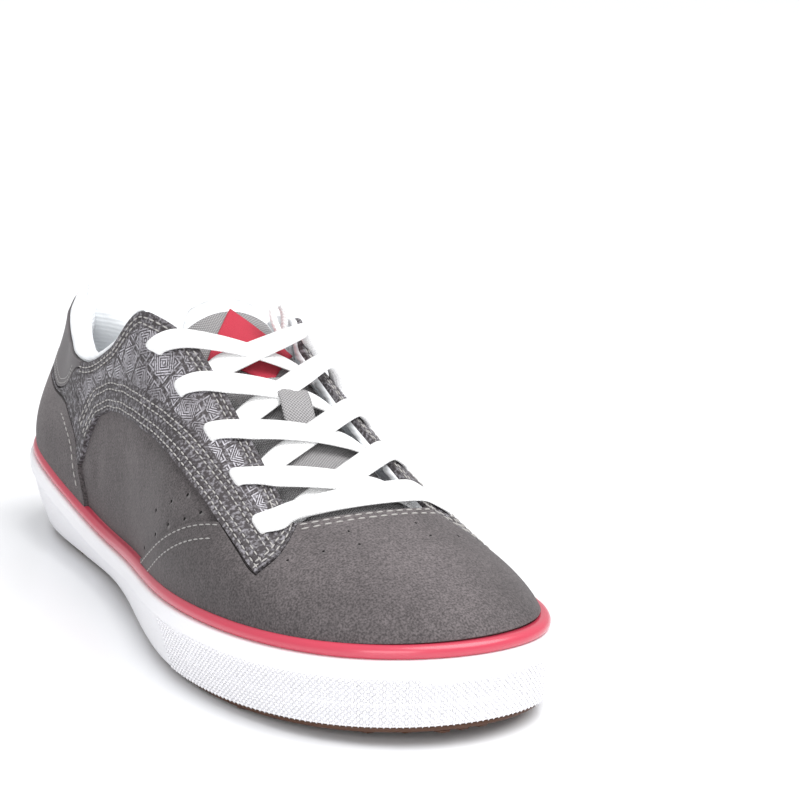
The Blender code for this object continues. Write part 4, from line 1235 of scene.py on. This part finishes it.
def build_toe_cap(settings):
    """The suede vamp and toe cap, with its seam's raised edge and small holes."""
    start, tip = (CAP_REAR[0][0] + 0.4) / 100, (EYESTAY_TIP + 0.2) / 100
    outer = np.linspace(start, tip, 90)
    middle = np.linspace(tip, 1 - tip, 170)[1:-1]
    places = np.concatenate([outer, middle, 1 - outer[::-1]])
    low = over_piping(places)
    at_rear = np.minimum(places, 1 - places) < CAP_REAR[-1][0] / 100
    bend = np.where(at_rear, panel_line(places, CAP_REAR), panel_line(places, CAP_UNDER_EYESTAY))
    bend = np.maximum(bend, low + 0.02)
    below = rows_between(low, bend, CAP_ROWS_BELOW)
    above = rows_between(bend, np.full(len(places), TOP_OF_WALL), CAP_ROWS_ABOVE)[:, 1:]
    ups = np.concatenate([below, above], 1)
    # Above the bend, only the columns of the vamp are kept.
    high = np.arange(CAP_ROWS_BELOW + CAP_ROWS_ABOVE)[None] >= CAP_ROWS_BELOW
    between = np.arange(len(places) - 1)[:, None]
    between = (between >= len(outer) - 1) & (between < len(places) - len(outer))
    leaning = lean_to_corner(places, ups, bend)
    piece = panel("suede_toe_cap", leaning, ups, "brushed_suede", ~high | between)
    punch(piece, VAMP_HOLES, 0.2 * MM, 10, settings.perforation * 0.75, 3 * MM)
    return finish_piece(piece, "suede", "toe_cap")


def eyestay_places():
    """Places of the eyestay's fine columns, from one tip round the heel to the other."""
    notch = (0.143, 0.148, 0.157)
    outer = np.unique(np.concatenate([np.linspace(0, EYESTAY_TIP / 100, 190), notch]))
    return np.concatenate([-outer[:0:-1], outer])


def build_eyestay():
    """The patterned leather round throat and collar."""
    places = eyestay_places()
    low = panel_line(places, EYESTAY_LOW)
    tab = np.minimum(panel_line(places, TAB_LOW) - SEAM, TOP_OF_WALL)
    ups = rows_between(low, np.where(np.abs(places) < TAB_END, tab, TOP_OF_WALL), 34)
    leaning = lean_to_corner(places, ups, low)
    piece = panel("patterned_eyestay", leaning, ups, "tiled_leather", borders=True)
    punch_eyelets(piece)
    return finish_piece(piece, "patterned_leather", "eyestay")


def build_heel_panels():
    """The suede counter, the nubuck tab and the red strip at its top."""
    places = np.linspace(-COUNTER_END, COUNTER_END, 141)
    low = over_piping(places)
    ups = rows_between(low, np.maximum(panel_line(places, COUNTER_TOP), low + 0.02), 22)
    finish_piece(panel("suede_counter", places[:, None], ups, "brushed_suede"), "suede", "heel_counter")
    places = np.linspace(-TAB_END, TAB_END, 121)
    low = np.minimum(panel_line(places, TAB_LOW), TOP_OF_WALL - 0.012)
    ups = rows_between(low, np.full(len(places), TOP_OF_WALL), 16)
    tab = panel("nubuck_heel_tab", places[:, None], ups, "soft_nubuck", extra=0.1 * MM)
    finish_piece(tab, "nubuck", "heel_tab")
    places, ups = np.linspace(-STRIP_END, STRIP_END, 9), np.linspace(0.86, TOP_OF_WALL, 9)
    strip = panel("red_heel_strip", places[:, None], ups[None], "label_cloth", extra=OVERLAY * 0.8)
    return finish_piece(strip, "red_cloth", "heel_strip")


def build_padding():
    """The padded collar lining, rolled over the upper's edge."""
    columns = np.linspace(*PADDING_ENDS, 150)
    ease = np.clip((read_round("open_back", columns) - 85 * MM) / (40 * MM), 0, 1)
    ends = np.clip(np.minimum(columns - columns[0], columns[-1] - columns) / 0.02, 0.12, 1) ** 0.5
    pad, rise = PADDING * (1 - 0.6 * ease) * ends, PADDING_RISE * ends
    inside = -(UPPER_WALL + 2 * GAP)
    edge, normal = upper_point(columns, 1.0), upper_normal(columns, 0.995)
    upward = unit(edge - upper_point(columns, 0.97))

    def over_edge(up, out):
        up, out = np.broadcast_to(up, pad.shape)[:, None], np.broadcast_to(out, pad.shape)[:, None]
        return edge + upward * up + normal * out

    points = (
        on_upper(columns, 0.50, inside),
        on_upper(columns, 0.78, inside),
        over_edge(0.2 * MM, inside),
        over_edge(0.1 * MM, 0.9 * MM),
        over_edge(rise * 0.5, 1.0 * MM),
        over_edge(rise * 1.1, -0.8 * MM),
        over_edge(rise * 1.15, inside - 0.5 * pad),
        over_edge(rise * 0.4, inside - 1.05 * pad),
        on_upper(columns, 0.86, inside - 1.1 * pad),
        on_upper(columns, 0.7, inside - 0.8 * pad),
        on_upper(columns, 0.50, inside - 1.0 * MM),
    )
    piece = round_solid("collar_lining", np.stack(points, 1), "ribbed_lining", capped=True)
    soft = piece.modifiers.new("soft", "SUBSURF")
    soft.levels = soft.render_levels = 1
    apply_modifiers(piece)
    finish_piece(piece, "lining", "collar_padding")
    return piece


# The tongue.


def tongue_column(name, back):
    """A column of the tongue's table, in metres, read along a smooth curve."""
    place = TONGUE_COLUMNS.index(name)
    table = np.array(sorted(TONGUE), float) * MM
    return np.interp(back, table[:, 0], table[:, place])


def tongue_point(back, across, out=0.0):
    """The tongue's upper face: across runs from -1 on the outer side to 1 on the inner side."""
    side = tongue_column("middle", back) + across * tongue_column("half_width", back)
    height = tongue_column("height", back) - tongue_column("fall", back) * across**2
    return np.stack([side, along(back), height + out], -1)


def smooth_line(table, count):
    """Evenly spread points of a smooth line through a table's rows."""
    steps = np.arange(len(table))
    fine = np.linspace(0, len(table) - 1, count)
    return np.stack([smooth_through(steps, column, fine) for column in table.T], 1)


def build_tongue():
    """The padded canvas tongue, its white lining showing along the top."""
    table = np.array(sorted(TONGUE), float)[:, 0] * MM
    backs = np.unique(np.concatenate([np.linspace(table[0], table[-1], 90), table]))
    turn = np.linspace(0, 2 * np.pi, 44, endpoint=False)
    across = np.cos(turn)
    rim = np.sqrt(np.clip(1 - across**2, 0, 1)) ** 0.5
    rings = []
    for back in backs:
        before_end = max(1 - (back - backs[0]) / TONGUE_ROUNDING, 0)
        near_end = np.sqrt(np.clip(1 - before_end**2, 0.05, 1))
        thick = tongue_column("thickness", back) * near_end
        line = tongue_point(np.full(across.shape, back), across * (1 - 0.12 * (1 - near_end)))
        line[:, 2] += np.where(np.sin(turn) > 0, 0.5, -0.5) * thick * rim - thick / 2
        rings.append(line)
    rings = np.stack(rings)
    piece = round_solid("canvas_tongue", rings, "tongue_canvas", capped=True)
    add_uv(piece.data, "surface", rings.reshape(-1, 3)[:, :2] * (1, 1.1))
    piece.data.materials.append(lookup("ribbed_lining"))
    kinds = []
    for polygon in piece.data.polygons:
        station, spoke = divmod(polygon.vertices[0], len(turn))
        below = np.sin(turn[spoke]) < -0.05
        kinds.append(int(below or backs[station] < backs[0] + TONGUE_EDGE or abs(across[spoke]) > 0.93))
    piece.data.polygons.foreach_set("material_index", kinds)
    finish_piece(piece, "canvas", "tongue")
    return piece


def build_label():
    """The plain woven label, a rotated square on the tongue, sewn down along its edge."""
    count = 34
    steps = np.linspace(-1, 1, count)
    a, b = np.meshgrid(steps, steps, indexing="ij")
    back = LABEL_BACK - (a + b) / 4 * LABEL_LENGTH
    side = LABEL_SIDE + (a - b) / 4 * LABEL_WIDTH
    wave = 0.12 * MM * np.sin(a * 5.0) * np.cos(b * 4.0)
    points = tongue_point(back, side / tongue_column("half_width", back), 0.75 * MM + wave)
    uv = np.stack([a, b], -1).reshape(-1, 2) * LABEL_WIDTH / 2
    mesh = new_mesh("red_label", points.reshape(-1, 3), grid_faces(count, count), uv)
    piece = new_object("red_label", mesh, "label_cloth")
    thicken(piece, 0.5 * MM)
    apply_modifiers(piece)
    point_outwards(piece.data)
    return finish_piece(piece, "red_cloth", "tongue_label")


def build_keeper():
    """The ribbed webbing loop that the lace runs under."""
    back, lift, side = smooth_line(np.array(KEEPER) * MM, 190).T
    part = np.linspace(-0.5, 0.5, 13)
    across = (side[:, None] + KEEPER_WIDTH * part) / tongue_column("half_width", back)[:, None]
    middle = tongue_point(back[:, None] + 0 * across, across)
    middle[..., 2] += lift[:, None] + 0.45 * MM
    run = run_along(middle[:, len(part) // 2])
    rib = 0.12 * MM * np.abs(np.sin(run / KEEPER_RIB * np.pi))[:, None] * np.ones(len(part))
    return ribbon("webbing_keeper", [(middle, 0.9 * MM)], "webbing", "canvas", "lace_keeper", rib)


# The lace.


def ribbon_mesh(middle, thickness, swell=0.0):
    """Points, faces and UV of a flat strip with rounded sides round its middle surface."""
    count, wide = middle.shape[:2]
    normal = unit(np.cross(np.gradient(middle, axis=1), np.gradient(middle, axis=0)))
    part = np.linspace(-1, 1, wide)
    body = np.clip(1 - part**4, 0.12, 1) ** 0.5
    half = np.broadcast_to(thickness, (count,))[:, None] / 2 * body
    ring = [middle + normal * (half + swell)[..., None], (middle - normal * half[..., None])[:, ::-1]]
    width = np.linalg.norm(middle[:, -1] - middle[:, 0], axis=-1).max()
    u = np.concatenate([part, part[::-1]]) * width / 2
    uv = np.stack(np.broadcast_arrays(u[None], run_along(middle[:, wide // 2])[:, None]), -1)
    around = 2 * wide
    faces = list(grid_faces(count, around))
    for i in range(count - 1):
        here, ahead = i * around, (i + 1) * around
        faces.append([here + around - 1, ahead + around - 1, ahead, here])
    faces += ring_ends(count, around)
    return np.concatenate(ring, 1).reshape(-1, 3), faces, uv.reshape(-1, 2)


def ribbon(name, strips, material, slot, node, swell=0.0):
    """One or more flat strips, each a middle surface and a thickness, as one piece."""
    points, faces, uvs, start = [], [], [], 0
    for middle, thickness in strips:
        ring, made, uv = ribbon_mesh(middle, thickness, swell)
        points.append(ring)
        uvs.append(uv)
        faces += [[index + start for index in face] for face in made]
        start += len(ring)
    mesh = new_mesh(name, np.concatenate(points), faces, np.concatenate(uvs))
    point_outwards(mesh)
    return finish_piece(new_object(name, mesh, material), slot, node)


def eyelet_place(side, row):
    """Place and height on the wall of an eyelet: side is -1 outside, 1 inside, row 0 next the toe."""
    place, up = np.array(EYELETS[row]) / 100
    return (place if side < 0 else 1 - place), up


def edge_place(back, side):
    """The place round the shoe where the throat's edge is at a distance from the heel end."""
    places = np.linspace(0.2, 0.4, 80)
    found = np.interp(back, read_round("open_back", places), places)
    return found if side < 0 else 1 - found


def eyelet_back(side, row):
    """An eyelet's distance from the heel end."""
    return along(0) - upper_point(*eyelet_place(side, row))[1]


def lace_landing(side, row, slant, settings):
    """The lace on the eyestay, (steps, width, 3), from the throat's edge over it and into the eyelet."""
    place, up = eyelet_place(side, row)
    part = np.linspace(0, 1, 16)[:, None]
    at_edge = edge_place(eyelet_back(side, row) + slant + ACROSS * settings.lace_width, side)
    at_eyelet = place - side * ACROSS * LACE_WIDTH_ROUND
    end = up - LACE_PAST_EYELET
    ups = 0.995 + (end - 0.995) * part
    out = PANEL_GAP + OVERLAY + settings.lace_thickness * 0.55
    flat = on_upper(at_edge + (at_eyelet - at_edge) * part, ups + 0 * at_edge, out)
    rise, over = (LACE_RISE[row], LACE_OVERHANG[row]) if side > 0 else (0.4 * MM, 0.0)
    flat[..., 2] += rise * (1 - part**1.7)
    flat[..., 0] += side * over * np.sin(np.pi * part**0.8)
    turn = np.linspace(0, 1, 7)[1:, None]
    narrow = place - side * ACROSS * LACE_WIDTH_ROUND * (1 - 0.4 * turn**2)
    down = -LACE_BITE * np.sin(turn * np.pi * 0.75)
    dip = on_upper(narrow, end + down + 0 * narrow, out - turn**1.6 * LACE_DEPTH)
    return np.concatenate([flat, dip])


def lace_inner(side, row, settings):
    """The lace between the eyelet's underside and the throat's edge, inside the upper."""
    place, up = eyelet_place(side, row)
    inward, down = LACE_UNDER_EDGE
    back = eyelet_back(side, row) - (LACE_START_OUTER if side < 0 else LACE_START_INNER)
    at_edge = edge_place(back + ACROSS * settings.lace_width, side)
    start = upper_point(at_edge, 1.0) - np.array([side * inward, 0, down])
    part = np.linspace(0, 1, 6)[:-1, None]
    places = place + (at_edge - place) * (0.35 + 0.65 * part)
    under = on_upper(places, up + (0.96 - up) * part + 0 * places, -(UPPER_WALL + 1.0 * MM))
    return under, start


def over_throat(start, end, crown):
    """The free lace between the throat's two edges, arched."""
    part = np.linspace(0, 1, 26)[1:-1, None, None]
    return start + (end - start) * part + LACE_ARCH * crown * 4 * part * (1 - part)


def lace_run(side, row, crown, settings):
    """One run of the lace: out from under one side's edge, over the throat and into the next eyelet."""
    under, start = lace_inner(side, row, settings)
    slant = LACE_SLANT_OUTER if side > 0 else LACE_SLANT_INNER
    landing = lace_landing(-side, row + 1, slant, settings)
    free = over_throat(start, landing[0], crown)
    strip = settle(np.concatenate([under, start[None], free, landing]))
    edge = len(strip) - len(landing)
    rolled = LACE_ROLLED[row + 1] if side < 0 else settings.lace_thickness
    share = np.interp(np.arange(len(strip)), (edge - 6, edge + 6), (0, 1))
    thickness = settings.lace_thickness + (rolled - settings.lace_thickness) * share
    middle = strip[:, 4:5]
    strip = middle + (strip - middle) * (1 - 0.28 * share * (rolled > 2.5 * MM))[:, None, None]
    return strip, thickness


def settle(grid):
    """Eases the kinks out of a strip along its length."""
    for _ in range(6):
        grid[2:-4] = grid[2:-4] * 0.5 + (grid[1:-5] + grid[3:-3]) * 0.25
    return grid


def build_laces(settings):
    """The bottom bar and the four crossings, the run that ends outside lying on the other."""
    outer = lace_landing(-1, 0, LACE_BAR_SLANT, settings)[::-1]
    inner = lace_landing(1, 0, 0, settings)
    bar = settle(np.concatenate([outer, over_throat(outer[-1], inner[0], 1.6 * MM), inner]))
    ribbon("lace_bar", [(bar, settings.lace_thickness)], "lace_cloth", "lace", "lace_bar_1")
    for row in range(len(EYELETS) - 1):
        runs = [lace_run(-1, row, 0.3 * MM, settings), lace_run(1, row, 2.2 * MM, settings)]
        ribbon(f"lace_runs_{row + 2}", runs, "lace_cloth", "lace", f"lace_crossing_{row + 2}")


def build_tail():
    """The lace's loose end, a small standing loop of rolled lace."""
    route = np.array(TAIL) * MM
    route[:, 1] = along(route[:, 1])
    line = smooth_line(route, 60)
    ahead = unit(np.gradient(line, axis=0))
    flat = unit(np.cross(ahead, TAIL_FACING))
    other = np.cross(ahead, flat)
    turn = np.linspace(0, 2 * np.pi, 16, endpoint=False)
    rings = line[:, None] + TAIL_HALF_WIDTH * np.cos(turn)[None, :, None] * other[:, None]
    rings = rings + TAIL_HALF_THICKNESS * np.sin(turn)[None, :, None] * flat[:, None]
    piece = round_solid("lace_end", rings, "lace_cloth", capped=True)
    run = np.linspace(0, 32 * MM, len(line))
    uv = np.stack(np.broadcast_arrays(np.cos(turn)[None] * 2 * MM, run[:, None]), -1)
    add_uv(piece.data, "surface", uv.reshape(-1, 2))
    finish_piece(piece, "lace", "lace_tail")
    return piece


# The stitching.


def sew(places, ups, distance, keep_off, least):
    """Points of a stitched row beside a line on the wall, on both sides of the shoe, off another line."""
    at, up = beside_line(places, ups, distance)
    out = PANEL_GAP + OVERLAY + 0.05 * MM
    outer = on_upper(at, up, out)
    kept = np.full(len(outer), True) if keep_off is None else nearest(outer, keep_off) >= least
    return [outer[kept], on_upper(1 - at, up, out)[kept]]


def build_stitches(settings):
    """All the rows of thread on the panels."""
    out = PANEL_GAP + OVERLAY
    low = np.linspace(0.1585, 0.3845, 220)
    low_ups = panel_line(low, EYESTAY_LOW)
    tip, corner = EYESTAY_TIP / 100, EYESTAY_CORNER / 100
    end_ups = np.linspace(0.41, TOP_OF_WALL, 60)
    end = tip + (corner - tip) * (end_ups - end_ups[0]) / (1 - end_ups[0])
    end_line, low_line = on_upper(end, end_ups, out), on_upper(low, low_ups, out)
    throat, vamp = np.linspace(0.142, 0.408, 260), np.linspace(0.418, 0.5, 60)
    seam, front = np.linspace(0.2625, 0.347, 60), np.linspace(0.118, 0.151, 50)
    tab = np.linspace(0.0, 0.126, 80)
    tab_ups = np.minimum(panel_line(tab, TAB_LOW), 0.92)
    throat_ups, vamp_ups = np.full(len(throat), TOP_OF_WALL), np.full(len(vamp), TOP_OF_WALL)
    # Name, line, side of the line, distances, line to keep off and how far, thread and size.
    for name, at, up, way, rows, keep_off, least, thread, size in (
        ("eyestay_low", low, low_ups, 1, LOW_ROWS, end_line, LOW_ROWS_OFF, "pale_thread", 1.0),
        ("throat", throat, throat_ups, -1, THROAT_ROWS, end_line, THROAT_ROWS, "pale_thread", 1.0),
        ("eyestay_end", end, end_ups, 1, END_ROWS, low_line, END_ROWS, "pale_thread", 1.0),
        ("cap", seam, panel_line(seam, CAP_REAR), -1, (1.2, 6.0), None, (0, 0), "grey_thread", 0.9),
        ("vamp", vamp, vamp_ups, -1, (1.2, 3.7), None, (0, 0), "pale_thread", 1.1),
        ("counter", front, panel_line(front, COUNTER_TOP), -1, (4.5,), None, (0,), "pale_thread", 1.0),
        ("tab", tab, tab_ups, 1, (1.3, 3.0), None, (0, 0), "grey_thread", 0.8),
    ):
        lines = []
        for distance, apart in zip(rows, least):
            lines += sew(at, up, way * distance * MM, keep_off, apart * MM)
        stitch(name + "_stitches", lines, settings, thread, size)


# The stage.


def hang_light(name, kind, place, energy, **settings):
    """A light at a place, aimed at the shoe."""
    lamp = bpy.data.lights.new(name, kind)
    lamp.energy = energy
    for setting, value in settings.items():
        setattr(lamp, setting, value)
    light = new_object(name, lamp)
    light.location = place
    light.rotation_euler = (Vector(LIGHTS_AIM) - Vector(place)).to_track_quat("-Z", "Y").to_euler()


def build_stage():
    """A pale floor, soft light from above and in front, and the camera."""
    far = FLOOR_HALF
    floor = bpy.data.meshes.new("studio_floor")
    floor.from_pydata([(-far, -far, 0), (far, -far, 0), (far, far, 0), (-far, far, 0)], [], [(0, 1, 2, 3)])
    made = Finish("studio_floor", (0.93, 0.935, 0.95), 0.22)
    made.colour(made.blend(made.noise(3.0, 2), (0.92, 0.928, 0.945), (0.94, 0.945, 0.96)))
    new_object("studio_floor", floor, "studio_floor")
    world = bpy.data.worlds.new("studio")
    bpy.context.scene.world = world
    world.use_nodes = True
    background = world.node_tree.nodes["Background"]
    background.inputs["Color"].default_value = (0.985, 0.99, 1.0, 1)
    background.inputs["Strength"].default_value = 0.6
    bpy.context.scene.view_settings.view_transform = "Standard"
    hang_light("soft_sun", "SUN", (0.34, -0.34, 1.0), 3.0, angle=np.radians(55))
    hang_light("front_light", "AREA", (-0.85, -1.2, 0.55), 9.0, size=0.9)
    camera = bpy.data.cameras.new("photo_camera")
    camera.sensor_width = CAMERA_SENSOR
    camera.lens = CAMERA_LENS
    camera.clip_start = 0.05
    holder = new_object("photo_camera", camera)
    axes = (CAMERA_RIGHT, -np.array(CAMERA_DOWN), -np.array(CAMERA_FORWARD), CAMERA_PLACE)
    turn = np.eye(4)
    turn[:3] = np.stack(axes, 1)
    holder.matrix_world = Matrix(turn.tolist())
    bpy.context.scene.camera = holder


# The add-on: sizes and colours, operators and the panel.


def colour_property(name, description, value):
    """A colour that a user can change."""
    return FloatVectorProperty(name=name, description=description, subtype="COLOR", size=3,
                               min=0, max=1, default=value)


def length_property(name, description, value):
    """A length that a user can change."""
    return FloatProperty(name=name, description=description, unit="LENGTH", min=0, precision=5, default=value)


class ShoeSizes(bpy.types.PropertyGroup):
    """Sizes of the details that are added to the solid parts."""

    lace_width: length_property("Lace width", "Width of the flat lace", 9.8 * MM)
    lace_thickness: length_property("Lace thickness", "Thickness of the flat lace", 1.4 * MM)
    stitch_pitch: length_property("Stitch pitch", "From one stitch to the next", 3.2 * MM)
    stitch_length: length_property("Stitch length", "Length of one stitch", 2.45 * MM)
    thread: length_property("Thread", "Thickness of the sewing thread", 0.58 * MM)
    perforation: length_property("Perforation", "Radius of the small holes", 0.62 * MM)
    lattice_pitch: length_property("Lattice pitch", "From one raised diamond to the next", 2.0 * MM)
    lattice_height: length_property("Lattice height", "Height of the raised diamonds", 0.56 * MM)
    tread: length_property("Tread", "Height of the outsole's pads", 0.8 * MM)


class ShoeColours(bpy.types.PropertyGroup):
    """Colours of the finishes."""

    suede: colour_property("Suede", "Cap, quarter and counter", (0.087, 0.0755, 0.0775))
    nubuck: colour_property("Nubuck", "Heel tab", (0.112, 0.101, 0.105))
    leather: colour_property("Leather", "Ground of the patterned leather", (0.050, 0.043, 0.046))
    print: colour_property("Print", "Print of the patterned leather", (0.60, 0.58, 0.63))
    rubber: colour_property("Rubber", "White sole", (0.895, 0.89, 0.915))
    piping: colour_property("Piping", "Red bead", (0.56, 0.05, 0.09))
    gum: colour_property("Gum", "Outsole", (0.075, 0.028, 0.012))
    lining: colour_property("Lining", "Collar and inside", (0.84, 0.86, 0.88))
    canvas: colour_property("Canvas", "Tongue", (0.335, 0.325, 0.33))
    label: colour_property("Label", "Woven label and heel strip", (0.58, 0.032, 0.065))
    lace: colour_property("Lace", "Flat lace", (0.97, 0.97, 0.97))
    pale_thread: colour_property("Pale thread", "Stitches on the leather", (0.39, 0.375, 0.36))
    grey_thread: colour_property("Grey thread", "Stitches on the suede", (0.32, 0.31, 0.30))


class SHOE_OT_finishes(bpy.types.Operator):
    """Makes every material of the shoe"""

    bl_idname = "shoe.finishes"
    bl_label = "Finishes"

    def execute(self, context):
        colours = context.scene.shoe_colours
        for make in (make_suede, make_nubuck, make_patterned_leather, make_rubbers, make_cloths):
            make(colours)
        return {"FINISHED"}


class SHOE_OT_stage(bpy.types.Operator):
    """Sets up the floor, the lights and the camera"""

    bl_idname = "shoe.stage"
    bl_label = "Stage"

    def execute(self, context):
        build_stage()
        return {"FINISHED"}


class SHOE_OT_sole(bpy.types.Operator):
    """Builds the cup, its lattice, the red piping, the outsole and the footbed"""

    bl_idname = "shoe.sole"
    bl_label = "Sole"

    def execute(self, context):
        sizes = context.scene.shoe_sizes
        build_cupsole()
        build_lattice(sizes)
        build_piping()
        build_outsole(sizes)
        build_insole()
        return {"FINISHED"}


class SHOE_OT_upper(bpy.types.Operator):
    """Builds the suede upper with its lining and holes"""

    bl_idname = "shoe.upper"
    bl_label = "Upper"

    def execute(self, context):
        build_upper(context.scene.shoe_sizes)
        return {"FINISHED"}


class SHOE_OT_panels(bpy.types.Operator):
    """Builds the toe cap, the patterned eyestay and the panels of the heel"""

    bl_idname = "shoe.panels"
    bl_label = "Panels"

    def execute(self, context):
        build_toe_cap(context.scene.shoe_sizes)
        build_eyestay()
        build_heel_panels()
        return {"FINISHED"}


class SHOE_OT_stitches(bpy.types.Operator):
    """Sews the rows of thread on the panels"""

    bl_idname = "shoe.stitches"
    bl_label = "Stitches"

    def execute(self, context):
        build_stitches(context.scene.shoe_sizes)
        return {"FINISHED"}


class SHOE_OT_collar(bpy.types.Operator):
    """Builds the padded collar lining"""

    bl_idname = "shoe.collar"
    bl_label = "Collar"

    def execute(self, context):
        build_padding()
        return {"FINISHED"}


class SHOE_OT_tongue(bpy.types.Operator):
    """Builds the tongue, its label and the lace keeper"""

    bl_idname = "shoe.tongue"
    bl_label = "Tongue"

    def execute(self, context):
        build_tongue()
        build_label()
        build_keeper()
        return {"FINISHED"}


class SHOE_OT_lace(bpy.types.Operator):
    """Runs the flat lace through the eyelets"""

    bl_idname = "shoe.lace"
    bl_label = "Lace"

    def execute(self, context):
        build_laces(context.scene.shoe_sizes)
        build_tail()
        return {"FINISHED"}


STEPS = (
    SHOE_OT_finishes, SHOE_OT_stage, SHOE_OT_sole, SHOE_OT_upper, SHOE_OT_panels, SHOE_OT_stitches,
    SHOE_OT_collar, SHOE_OT_tongue, SHOE_OT_lace,
)


class SHOE_PT_panel(bpy.types.Panel):
    """Lists the sizes, the colours and the steps"""

    bl_label = "Skateboarding Shoe"
    bl_idname = "SHOE_PT_panel"
    bl_space_type = "VIEW_3D"
    bl_region_type = "UI"
    bl_category = "Shoe"

    def draw(self, context):
        for group in (context.scene.shoe_sizes, context.scene.shoe_colours):
            box = self.layout.box()
            for name in group.__annotations__:
                box.prop(group, name)
        for step in STEPS:
            self.layout.operator(step.bl_idname)


CLASSES = (ShoeSizes, ShoeColours, *STEPS, SHOE_PT_panel)


def register():
    """Registers the classes and the scene's settings."""
    for made in CLASSES:
        bpy.utils.register_class(made)
    bpy.types.Scene.shoe_sizes = PointerProperty(type=ShoeSizes)
    bpy.types.Scene.shoe_colours = PointerProperty(type=ShoeColours)


def unregister():
    """Removes what register added."""
    del bpy.types.Scene.shoe_sizes
    del bpy.types.Scene.shoe_colours
    for made in reversed(CLASSES):
        bpy.utils.unregister_class(made)


def main():
    """Builds the whole shoe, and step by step."""
    register()
    for step in STEPS:
        group, name = step.bl_idname.split(".")
        getattr(getattr(bpy.ops, group), name)()


if __name__ == "__main__":
    main()
